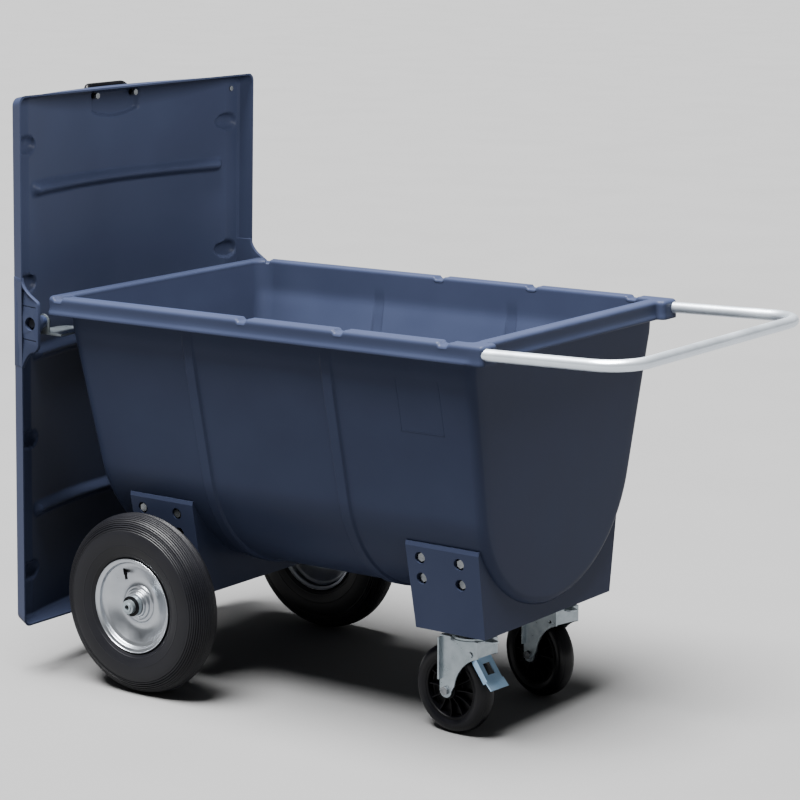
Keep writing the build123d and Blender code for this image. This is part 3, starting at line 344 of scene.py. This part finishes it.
def corner_turns(corners):
    """Direction in, direction out, angle and trimmed length of each rounded corner."""
    turns = []
    for i, (x, y, radius) in enumerate(corners):
        before, after = corners[i - 1], corners[(i + 1) % len(corners)]
        into = Vector((x - before[0], y - before[1])).normalized()
        out = Vector((after[0] - x, after[1] - y)).normalized()
        turn = math.atan2(into.x * out.y - into.y * out.x, into.dot(out))
        turns.append((into, out, turn, radius * abs(math.tan(turn / 2))))
    return turns


def rounded_path(corners, spacing):
    """Points round a closed path of (x, y, radius) corners, each with its outward normal."""
    points = []
    turns = corner_turns(corners)
    for i, ((x, y, radius), (into, out, turn, trim)) in enumerate(zip(corners, turns)):
        following = (i + 1) % len(corners)
        start = Vector((x, y)) - into * trim
        centre = start + Vector((-into.y, into.x)) * math.copysign(radius, turn)
        parts = max(3, int(abs(turn) * radius / 2.0))
        for k in range(parts + 1):
            spin = Matrix.Rotation(turn * k / parts, 2)
            direction = spin @ into
            points.append((centre + spin @ (start - centre), Vector((direction.y, -direction.x))))
        end = points[-1][0]
        target = Vector(corners[following][:2]) - out * turns[following][3]
        parts = max(1, int((target - end).length / spacing))
        for k in range(1, parts):
            points.append((end + (target - end) * k / parts, Vector((out.y, -out.x))))
    return points


def notch_depth(x):
    """Depth of the shallow notches across the side rails."""
    return sum(NOTCH_DEPTH * (1 - smooth_step(9.0, 15.0, abs(x - at))) for at in NOTCHES_X)


def rim_face():
    """Outer face of the rim, lip first: (distance in from the edge, height from the top)."""
    foot = [(9.0, 9.0), (4.5, 1.0), (1.6, 0.0), (0.2, 1.4), (0.0, 4.0), (0.7, 7.0), (2.2, 10.0), (3.1, 14.0),
            (3.3, 20.0), (3.1, 26.0)]
    return [(into, up - RIM_DEPTH) for into, up in foot] + [(2.9, -12.0), (RIM_SETBACK, -RIM_RIDGE)]


def rim_shell():
    """Hollow rim: flared lower lip, concave face, rounded ridge, flat top and inner edge."""
    half = RIM_WIDTH / 2
    rear, front, step_x = FRONT_X - RIM_LENGTH, FRONT_X, FRONT_X - EAR_REACH
    ear_in = half - EAR_WIDTH
    corners = [(rear, -half, RIM_CORNER), (front, -half, EAR_OUTER), (front, -ear_in, EAR_INNER),
               (step_x, -ear_in, EAR_FOOT), (step_x, ear_in, EAR_FOOT), (front, ear_in, EAR_INNER),
               (front, half, EAR_OUTER), (rear, half, RIM_CORNER)]
    path = rounded_path(corners, 3.0)
    verts = []
    for point, normal in path:
        inner = Vector(near_inner(point.x, point.y))
        notch = notch_depth(point.x) if abs(point.y) > half - 30 else 0.0
        # the ears' faces are flatter than the rails'
        hollow = 1.0 - 0.7 * smooth_step(step_x - 30, step_x - 6, point.x) * (abs(point.y) > ear_in - 6)
        column = [(point - normal * (RIM_SETBACK + (into - RIM_SETBACK) * hollow), down)
                  for into, down in rim_face()]
        crest = point - normal * (RIM_SETBACK + RIM_RIDGE)
        for a in steps(0, math.pi / 2, 7)[1:]:
            column.append((point - normal * (RIM_SETBACK + RIM_RIDGE * (1 - math.cos(a))),
                           RIM_RIDGE * (math.sin(a) - 1)))
        for t in steps(0, 1, 7)[1:]:
            column.append((crest + (inner - crest) * t * 0.8, -0.5 * math.sin(math.pi * t)))
        last = crest + (inner - crest) * 0.8
        for a in steps(0, math.pi / 2, 6)[1:]:
            column.append((last + (inner - last) * math.sin(a), -7.0 * (1 - math.cos(a))))
        column.append((inner, -RIM_INNER_DROP))
        for xy, down in column:
            z = down - notch * smooth_step(-16, -7, down)
            verts.append(on_tub(xy.x, xy.y, RIM_TOP + z))
    return verts, grid_faces(len(path), len(verts) // len(path), close_rows=True)


def join(*shells):
    """Several (points, faces) shells as one."""
    verts, faces = [], []
    for points, quads in shells:
        start = len(verts)
        verts += points
        faces += [tuple(i + start for i in quad) for quad in quads]
    return verts, faces


def badge():
    """Plain raised frame on the left side, where a plate may be fitted."""
    verts, faces = [], []
    (x0, x1), (z0, z1) = BADGE_X, BADGE_Z
    side_y, side_z = SIDE_FOOT
    bars = ((x0, x1, z0, z0 + BADGE_LINE), (x0, x1, z1 - BADGE_LINE, z1),
            (x0, x0 + BADGE_LINE, z0, z1), (x1 - BADGE_LINE, x1, z0, z1))
    for a, b, c, d in bars:
        start = len(verts)
        for x, z in ((a, c), (b, c), (b, d), (a, d)):
            y = -(side_y + (z - side_z) * math.tan(SIDE_DRAFT))
            for lift in BADGE_LIFT:
                verts.append(on_tub(x, y - lift, z))
        faces += [tuple(start + i for i in face) for face in
                  ((1, 3, 5, 7), (0, 2, 3, 1), (2, 4, 5, 3), (4, 6, 7, 5), (6, 0, 1, 7))]
    return verts, faces


def bolt_seats():
    """Flat seats inside the tub for the washers of the foot blocks' bolts."""
    verts, faces = [], []
    count = 32
    places = [(middle + dx, z, side, seat) for middle, seats in BOLT_GROUPS for z, seat in zip(BOLTS_Z, seats)
              for dx in (-BOLT_PITCH / 2, BOLT_PITCH / 2) for side in (-1, 1)]
    for at, level, side, seat in places:
        start = len(verts)
        for i in range(count):
            a = 2 * math.pi * i / count
            x, z = at + SEAT_RADIUS * math.cos(a), level + SEAT_RADIUS * math.sin(a)
            drop = BELLY_Z - z - (x - FRONT_X) * math.sin(TUB_SLOPE)
            wall = math.sqrt((BELLY_RADIUS - WALL / 2) ** 2 - drop ** 2)
            verts += [(x, side * seat, z), (x, side * wall, z)]
        faces += grid_faces(count, 2, close_rows=True, start=start)
        faces.append(tuple(range(start, start + 2 * count, 2)))
    return verts, faces


def build_tub():
    """The moulded tub with its rim, ribs, bolt seats and plain badge frame."""
    outer = tub_shell(0.0, RIM_TOP - 12.0)
    inner = tub_shell(WALL, RIM_TOP - RIM_INNER_DROP)
    verts, faces = join(outer, inner, rim_shell(), badge(), bolt_seats())
    new_piece("tub_moulding", verts, faces, "navy_plastic", "cart", 40, ("tub",))


# ---- lid ---------------------------------------------------------------------------
def lid_point(x, y, z):
    """A point drawn about the lid's pivot, at rest, in the part's frame."""
    cos, sin = math.cos(LID_LEAN), math.sin(LID_LEAN)
    return (PIVOT.x + x * cos + z * sin, y, PIVOT.z - x * sin + z * cos)


def crown(y):
    """How far the crowned back stands behind the flat side bands."""
    radius = (LID_CROWN_HALF ** 2 + LID_CROWN ** 2) / (2 * LID_CROWN)
    if abs(y) >= LID_CROWN_HALF:
        return 0.0
    return math.sqrt(radius ** 2 - y ** 2) - (radius - LID_CROWN)


def lid_relief(y, z):
    """Forward relief of the lid's panel: cross ribs raised, dimples and the grip's pocket sunk."""
    relief = 0.0
    for level in LID_RIBS_Z:
        across = abs(z - level) / LID_RIB_HALF
        along = 1 - smooth_step(*LID_RIB_END, abs(y))
        if across < 1:
            relief += LID_RIB_RISE * along * (0.5 + 0.5 * math.cos(math.pi * across)) ** 0.7
    for level in DIMPLES_Z:
        reach = ((abs(y) - DIMPLE_Y) / DIMPLE_HALF_Y) ** 2 + ((z - level) / DIMPLE_HALF_Z) ** 2
        if reach < 1:
            relief -= DIMPLE_SINK * (1 - reach) ** 0.5
    foot = POCKET_FOOT + 14 * (abs(y) / 80) ** 2
    pocket = (1 - smooth_step(*POCKET_SIDE, abs(y))) * smooth_step(foot, foot + 8, z)
    return relief - POCKET_SINK * pocket


def lid_ring(half, up, down, radius, per_side, depth):
    """One closed ring of lid points: a rounded rectangle with a depth for each (y, z)."""
    points = []
    radius = max(min(radius, half - 0.5), 0.0)
    y1, top, foot = half - radius, up - radius, radius - down
    spans = [((-y1, up), (y1, up)), ((half, top), (half, foot)),
             ((y1, -down), (-y1, -down)), ((-half, foot), (-half, top))]
    centres = [(y1, top, math.pi / 2), (y1, foot, 0.0), (-y1, foot, -math.pi / 2), (-y1, top, math.pi)]
    for (start, end), (cy, cz, angle), count in zip(spans, centres, per_side):
        for k in range(count):
            t = k / count
            points.append((start[0] + (end[0] - start[0]) * t, start[1] + (end[1] - start[1]) * t))
        for k in range(8):
            a = angle - (math.pi / 2) * k / 8
            points.append((cy + radius * math.cos(a), cz + radius * math.sin(a)))
    return [(depth(y, z), y, z) for y, z in points]


def lid_surface(inset):
    """Rings of one face of the lid, from its lip to its middle; the inset is 0 for the outer face."""
    per_side = (150, 230, 150, 230)
    rings = []
    lip_x = -LID_BACK + LID_SKIRT

    def height(y, z):
        fade = smooth_step(4, 20, LID_UP - LID_FLARE - z) * smooth_step(4, 20, z + LID_DOWN - LID_FLARE)
        fade *= smooth_step(4, 16, LID_HALF - abs(y))
        return -LID_BACK + inset - crown(y) + lid_relief(y, z) * fade

    for t in steps(0, 1, 12)[:-1]:
        flare = 1 - t
        half = LID_HALF - inset + (LID_LIP_HALF - LID_HALF) * flare
        end = LID_FLARE * (1 - flare)
        rings.append(lid_ring(half, LID_UP - inset - end, LID_DOWN - inset - end, LID_CORNER, per_side,
                              lambda y, z: lip_x + (height(y, z) - lip_x) * t))
    half0, up0, down0 = LID_HALF - inset, LID_UP - LID_FLARE - inset, LID_DOWN - LID_FLARE - inset
    for a in steps(0, math.pi / 2, 6)[1:]:
        pull = LID_FILLET * (1 - math.cos(a))
        lift = LID_FILLET * (1 - math.sin(a))
        ring = lid_ring(half0 - pull, up0 - pull, down0 - pull, LID_CORNER - pull, per_side, height)
        rings.append([(x + lift, y, z) for x, y, z in ring])
    for pull in steps(LID_FILLET, half0, 112)[1:]:
        corner = max(LID_CORNER - pull, 0.0)
        rings.append(lid_ring(half0 - pull, up0 - pull, down0 - pull, corner, per_side, height))
    return rings


def lid_shell():
    """The whole lid: inside and outside faces with a rounded lip between them."""
    inner, outer = lid_surface(LID_WALL), lid_surface(0.0)
    lip_in, lip_out = inner[0], outer[0]
    bridge = []
    for t in steps(0, math.pi, 6)[1:-1]:
        ring = []
        for a, b in zip(lip_in, lip_out):
            x, y, z = ((a[i] + b[i]) / 2 for i in range(3))
            ring.append((x, y + (a[1] - b[1]) / 2 * math.cos(t), z + (a[2] - b[2]) / 2 * math.cos(t)))
        bridge.append(ring)
    rings = list(reversed(inner)) + bridge + outer
    verts = [lid_point(*p) for ring in rings for p in ring]
    columns = len(rings[0])
    faces = grid_faces(len(rings), columns, close_columns=True)
    return verts, faces


def lid_ears():
    """Plate of an ear at the lid's hinge, drawn about the pivot, with bevelled edges."""
    back, lip, front = -LID_BACK + 2.0, -LID_BACK + LID_SKIRT, EAR_FRONT
    outline = [(back, 100), (lip, 100)]
    for t in steps(0, 1, 9)[1:]:
        outline.append((lip + 22 * t ** 1.7, 100 - 34 * t ** 0.8))
    outline += [(front - 4, 52), (front - 0.8, 48), (front, 43), (front, -48), (front - 1.2, -53),
                (front - 5, -58)]
    for t in steps(0, 1, 9):
        outline.append((front - 11 - (front - 11 - lip) * t ** 0.7, -64 - 41 * t ** 1.5))
    outline += [(back, -105)]
    work = bmesh.new()
    ring = [work.verts.new((x, -LID_LIP_HALF, z)) for x, z in outline]
    plate = work.faces.new(ring)
    made = bmesh.ops.extrude_face_region(work, geom=[plate])
    moved = [v for v in made["geom"] if isinstance(v, bmesh.types.BMVert)]
    bmesh.ops.translate(work, vec=(0, EAR_PLATE, 0), verts=moved)
    bmesh.ops.recalc_face_normals(work, faces=work.faces)
    bmesh.ops.bevel(work, geom=corner_edges(work), offset=EAR_BEVEL, segments=3, affect="EDGES", profile=0.5)
    mesh = bpy.data.meshes.new("ear_plate")
    work.to_mesh(mesh)
    work.free()
    return mesh


def corner_edges(work):
    """The edges of a mesh whose two faces meet at more than a radian."""
    return [e for e in work.edges if len(e.link_faces) == 2 and e.calc_face_angle(0) > 1.0]


def cut(mesh, cutters, name):
    """A mesh joined with or cut by others, all in the same frame."""
    target = bpy.data.objects.new(name, mesh)
    bpy.context.scene.collection.objects.link(target)
    tools = []
    for cutter, operation in cutters:
        tool = bpy.data.objects.new(name + "_tool", cutter)
        bpy.context.scene.collection.objects.link(tool)
        tools.append(tool)
        modifier = target.modifiers.new("cut", "BOOLEAN")
        modifier.object = tool
        modifier.operation = operation
        modifier.solver = "EXACT"
    bpy.context.view_layer.update()
    graph = bpy.context.evaluated_depsgraph_get()
    result = bpy.data.meshes.new_from_object(target.evaluated_get(graph))
    for obj in tools + [target]:
        bpy.data.objects.remove(obj)
    return result


def drum(x, y, z, radius, depth):
    """A closed cylinder along Y, starting at y."""
    work = bmesh.new()
    turn = Matrix.Rotation(math.pi / 2, 4, "X")
    bmesh.ops.create_cone(work, cap_ends=True, segments=48, radius1=radius, radius2=radius, depth=depth,
                          matrix=Matrix.Translation((x, y + depth / 2, z)) @ turn)
    mesh = bpy.data.meshes.new("drum")
    work.to_mesh(mesh)
    work.free()
    return mesh


def block(x0, x1, y0, y1, z0, z1):
    """A closed box between two corners."""
    work = bmesh.new()
    bmesh.ops.create_cube(work, size=1.0)
    for v in work.verts:
        v.co = ((x0 + x1) / 2 + v.co.x * (x1 - x0), (y0 + y1) / 2 + v.co.y * (y1 - y0),
                (z0 + z1) / 2 + v.co.z * (z1 - z0))
    mesh = bpy.data.meshes.new("block")
    work.to_mesh(mesh)
    work.free()
    return mesh


def ear_pull(x):
    """How far the ear's plate leans inwards with the lid's flared skirt, at x about the pivot."""
    lip = -LID_BACK + LID_SKIRT
    return 0.93 * (LID_LIP_HALF - LID_HALF) * min(max((lip - x) / LID_SKIRT, 0.0), 1.0)


def build_lid():
    """The lid with its ears, replacing the plain CAD shell."""
    verts, faces = lid_shell()
    new_piece("lid_moulding", verts, faces, "navy_plastic", "lid", 60, ("lid_shell",))
    outside = -LID_LIP_HALF
    cutters = [(drum(0, outside + 4, 0, BOSS_RADIUS, BOSS_DEPTH), "UNION"),
               (drum(0, outside - 2, 0, RECESS_RADIUS, 17), "DIFFERENCE"),
               (drum(0, outside - 2, 0, PIVOT_HOLE, 60), "DIFFERENCE")]
    for z in EAR_LINES_Z:
        line = block(-48, 18, outside - 1, outside + EAR_LINE_SINK, z - EAR_LINE_HALF, z + EAR_LINE_HALF)
        cutters.append((line, "DIFFERENCE"))
    ear = cut(lid_ears(), cutters, "ear")
    for name, side in SIDES:
        points = [lid_point(v.co.x, (v.co.y + ear_pull(v.co.x)) * -side, v.co.z) for v in ear.vertices]
        polygons = [tuple(p.vertices) for p in ear.polygons]
        new_piece(f"lid_ear_{name}", points, polygons, "navy_plastic", "lid", 35)


# ---- turned pieces -----------------------------------------------------------------
def lathe(profile, place, count):
    """Points and faces of a profile of (radius, along) turned about the local Y axis."""
    verts = []
    for i in range(count):
        a = 2 * math.pi * i / count
        for r, y in profile:
            verts.append(place(r * math.cos(a), y, r * math.sin(a)))
    return verts, grid_faces(count, len(profile), close_rows=True)


def arc_points(points, parts):
    """A smooth Catmull-Rom line through control points."""
    line = []
    padded = [points[0]] + list(points) + [points[-1]]
    for i in range(1, len(padded) - 2):
        p0, p1, p2, p3 = padded[i - 1:i + 3]
        for k in range(parts):
            t = k / parts
            line.append(tuple(0.5 * (2 * p1[c] + (p2[c] - p0[c]) * t
                                     + (2 * p0[c] - 5 * p1[c] + 4 * p2[c] - p3[c]) * t * t
                                     + (3 * p1[c] - p0[c] - 3 * p2[c] + p3[c]) * t ** 3) for c in (0, 1)))
    line.append(tuple(points[-1]))
    return line


def wheel_frame(centre, yaw, side):
    """A function that puts (x, y, z), drawn with the outer face to -Y, at a wheel."""
    cos, sin = math.cos(yaw), math.sin(yaw)

    def place(x, y, z):
        y = y * -side
        return (centre.x + x * cos - y * sin, centre.y + x * sin + y * cos, centre.z + z)

    return place


def tyre_profile():
    """Section of the pneumatic tyre with circumferential ribs on tread and shoulders."""
    half = [(99, -24), (108, -31.5), (116, -37.0), (134, -41.6), (154, -42.7), (172, -40.8), (186, -36.4),
            (196, -28.5), (202.6, -17.5), (205.6, -6.5)]
    control = half + [(r, -y) for r, y in reversed(half)]
    line = arc_points(control, 22)
    ribbed = []
    travel = 0.0
    for i, (r, y) in enumerate(line):
        if i:
            travel += math.hypot(r - line[i - 1][0], y - line[i - 1][1])
        before, after = line[max(i - 1, 0)], line[min(i + 1, len(line) - 1)]
        dr, dy = after[0] - before[0], after[1] - before[1]
        size = math.hypot(dr, dy) or 1.0
        nr, ny = -dy / size, dr / size
        if nr * (r - 150) + ny * y < 0:
            nr, ny = -nr, -ny
        tread = smooth_step(166, 178, r)
        groove = 0.0
        if r > 160:
            wave = (travel % TREAD_PITCH) / TREAD_PITCH
            groove = -TREAD_SINK * tread * (1 - smooth_step(0.04, 0.30, abs(wave - 0.5)))
        for ring in (119.0, 139.0):
            groove += 0.6 * (1 - smooth_step(0.4, 1.4, abs(r - ring)))
        ribbed.append((r + nr * groove, y + ny * groove))
    return ribbed


def disc_profile(side):
    """Pressed wheel disc: rolled flange, bead groove, deep concave dish and stepped centre."""
    outer = [(24, -25), (27, -24.4), (29.5, -19), (33.5, -17.6), (36, -12.6), (41, -11.4), (44, -8.0),
             (51, -6.4), (58, -6.8), (66, -9.4), (75, -13.6), (84, -18.4), (89, -21.2), (93, -22.8),
             (96.4, -24.8), (98.0, -28.6), (99.2, -32.6), (102.5, -34.2), (105.6, -35.4), (107.4, -37.0),
             (108, -35.2), (106.4, -33.4), (102.6, -32.0), (100.6, -29.4)]
    return [(r, y if side < 0 else -y) for r, y in arc_points(outer, 6)]


def build_wheels():
    """Tyres and discs of both pneumatic wheels."""
    for name, side in SIDES:
        place = wheel_frame(joint_place(f"wheel_spin_{name}"), 0.0, side)
        verts, faces = lathe(tyre_profile(), place, 160)
        new_piece(f"tyre_{name}_ribbed", verts, faces, "tyre_rubber", f"wheel_{name}", 50, (f"tyre_{name}",))
        verts, faces = join(*(lathe(disc_profile(face), place, 128) for face in (-1, 1)))
        new_piece(f"wheel_dish_{name}", verts, faces, "wheel_steel", f"wheel_{name}", 50,
                  (f"wheel_disc_{name}",))


def castor_tyre_profile():
    """Section of the solid rubber tyre with a fine groove towards each edge of the tread."""
    half = [(CASTOR_TREAD, -19.5), (74, -21.6), (78, -22.8), (83, -22.6), (88, -21.2), (92.5, -18.0),
            (96.4, -13), (98.4, -6.5)]
    control = half + [(98.9, 0)] + [(r, -y) for r, y in reversed(half)]
    shaped = []
    for r, y in arc_points(control, 10):
        groove = sum(0.9 * (1 - smooth_step(0.5, 1.5, abs(y - at))) for at in CASTOR_GROOVES)
        shaped.append((r - groove if r > 90 else r, y))
    return shaped


def core_shell(place):
    """Black plastic wheel centre: rim, web, hub and radial ribs."""
    half = [(14.2, -28.4), (19, -28.4), (20.4, -27), (21.4, -4.5), (23.5, -3), (58, -3), (60.5, -4.5),
            (62.6, -17.8), (64, -19), (CASTOR_TREAD - 0.2, -19)]
    profile = half + [(r, -y) for r, y in reversed(half)]
    shells = [lathe(profile, place, 72)]
    for i in range(CORE_RIBS):
        a = 2 * math.pi * i / CORE_RIBS
        verts = []
        for r, reach in ((20.5, 21.0), (34, 15.5), (50, 14.0), (61.6, 15.5)):
            for y in (-reach, reach):
                for z in (-1.1, 1.1):
                    x, up = r * math.cos(a) - z * math.sin(a), r * math.sin(a) + z * math.cos(a)
                    verts.append(place(x, y, up))
        quads = []
        for b in (0, 4, 8):
            quads += [(b, b + 4, b + 5, b + 1), (b + 2, b + 3, b + 7, b + 6), (b, b + 2, b + 6, b + 4),
                      (b + 1, b + 5, b + 7, b + 3)]
        shells.append((verts, quads))
    return join(*shells)


def build_castor_wheels():
    """Rubber tyres and plastic centres of both castors."""
    for name, yaw in YAW.items():
        place = wheel_frame(joint_place(f"castor_spin_{name}"), yaw, -1)
        body = f"castor_wheel_{name}"
        verts, faces = lathe(castor_tyre_profile(), place, 120)
        new_piece(f"castor_tyre_{name}_moulded", verts, faces, "castor_rubber", body, 50,
                  (f"castor_tyre_{name}",))
        verts, faces = core_shell(place)
        new_piece(f"castor_centre_{name}", verts, faces, "black_plastic", body, 30, (f"castor_core_{name}",))


def build_pedal():
    """Pressed pedal: plate with a square window, a bent flange and a stepped, wider toe."""
    centre = joint_place("brake_press")
    cos, sin = math.cos(YAW["left"]), math.sin(YAW["left"])
    down, along = math.sin(PEDAL_SLOPE), math.cos(PEDAL_SLOPE)
    plate = block(0, 84, -25, 25, -1.6, 1.6)
    toe = block(66, 88.5, -29, 29, -1.6, 1.6)
    flange = block(8, 68, -25, -22.2, -13, 1)
    window = block(26, 53, -12, 12, -9, 9)
    sleeve = drum(0, -25, 0, 7, 50)
    bore = drum(0, -40, 0, 4.1, 80)
    shape = cut(plate, [(toe, "UNION"), (flange, "UNION"), (window, "DIFFERENCE"), (sleeve, "UNION"),
                        (bore, "DIFFERENCE")], "pedal")
    work = bmesh.new()
    work.from_mesh(shape)
    bmesh.ops.bevel(work, geom=corner_edges(work), offset=0.7, segments=2, affect="EDGES", profile=0.5,
                    clamp_overlap=True)
    points = []
    for v in work.verts:
        u, w = v.co.x, v.co.z + 3.0 * smooth_step(64, 72, v.co.x)
        x, z = u * along + w * down, -u * down + w * along
        points.append((centre.x + x * cos - v.co.y * sin, centre.y + x * sin + v.co.y * cos, centre.z + z))
    polygons = [tuple(v.index for v in f.verts) for f in work.faces]
    work.free()
    new_piece("brake_pedal_pressed", points, polygons, "blue_zinc", "brake", 30, ("brake_pedal",))


# ---- carried-over CAD nodes --------------------------------------------------------
def dress_nodes():
    """Finish of every CAD node, with a small bevel on the edges of the larger ones."""
    slots = {s["node"]: s["material_slot"] for s in frame["record"]["subparts"]}
    bevels = {"front_foot_block": 2.6, "rear_axle_block": 2.6, "lid_brackets": 0.8, "castor_fork_left": 0.8,
              "castor_fork_right": 0.8, "castor_top_plates": 0.8, "axle_saddles": 0.8}
    for name, node in nodes.items():
        node.data.materials.clear()
        node.data.materials.append(MATS[slots[name]])
        for polygon in node.data.polygons:
            polygon.material_index = 0
        shade(node.data, 28)
        if name in bevels:
            modifier = node.modifiers.new("edge", "BEVEL")
            modifier.width = bevels[name] * MM
            modifier.segments = 3
            modifier.limit_method = "ANGLE"
            modifier.angle_limit = math.radians(35)
            modifier.harden_normals = True


# ---- stage, light and camera -------------------------------------------------------
def build_stage():
    """Pale floor."""
    mesh = bpy.data.meshes.new("floor")
    far = FLOOR_REACH
    mesh.from_pydata([(-far, -far, 0), (far, -far, 0), (far, far, 0), (-far, far, 0)], [], [(0, 1, 2, 3)])
    floor = bpy.data.objects.new("floor", mesh)
    bpy.context.scene.collection.objects.link(floor)
    mesh.materials.append(surface("pale_floor", (0.11, 0.11, 0.11), (0.117, 0.117, 0.117), (0.85, 0.95),
                                  scale=2, grain=60, bump=0.00002))


def aim(name, data, direction):
    """A light or camera that looks along a direction."""
    obj = bpy.data.objects.new(name, data)
    bpy.context.scene.collection.objects.link(obj)
    obj.rotation_mode = "QUATERNION"
    obj.rotation_quaternion = Vector(direction).to_track_quat("-Z", "Y")
    return obj


def build_light():
    """Soft studio surroundings, a broad key from high up and a fill over the tub for the lid."""
    world = bpy.data.worlds.new("studio")
    bpy.context.scene.world = world
    world.use_nodes = True
    background = world.node_tree.nodes["Background"]
    background.inputs["Color"].default_value = (0.96, 0.98, 1.0, 1)
    background.inputs["Strength"].default_value = 0.20
    key = bpy.data.lights.new("key", "SUN")
    key.energy, key.angle = KEY_ENERGY, KEY_ANGLE
    aim("key", key, KEY_DIRECTION)
    fill = bpy.data.lights.new("fill", "AREA")
    fill.shape = "RECTANGLE"
    fill.size, fill.size_y = FILL_SIZE
    fill.energy = FILL_ENERGY
    panel = aim("fill", fill, FILL_DIRECTION)
    panel.location = FILL_AT
    panel.visible_camera = False


def build_camera():
    """Camera at the viewing angle of 36 degrees round and 11 up."""
    data = bpy.data.cameras.new("camera")
    data.sensor_width = 36.0
    data.lens = CAMERA_LENS
    data.clip_end = 300
    camera = aim("camera", data, -Vector(CAMERA_BACK).normalized())
    camera.location = CAMERA_AT
    bpy.context.scene.camera = camera


build_camera()
build_light()
build_stage()
dress_nodes()
build_tub()
build_lid()
build_wheels()
build_castor_wheels()
build_pedal()
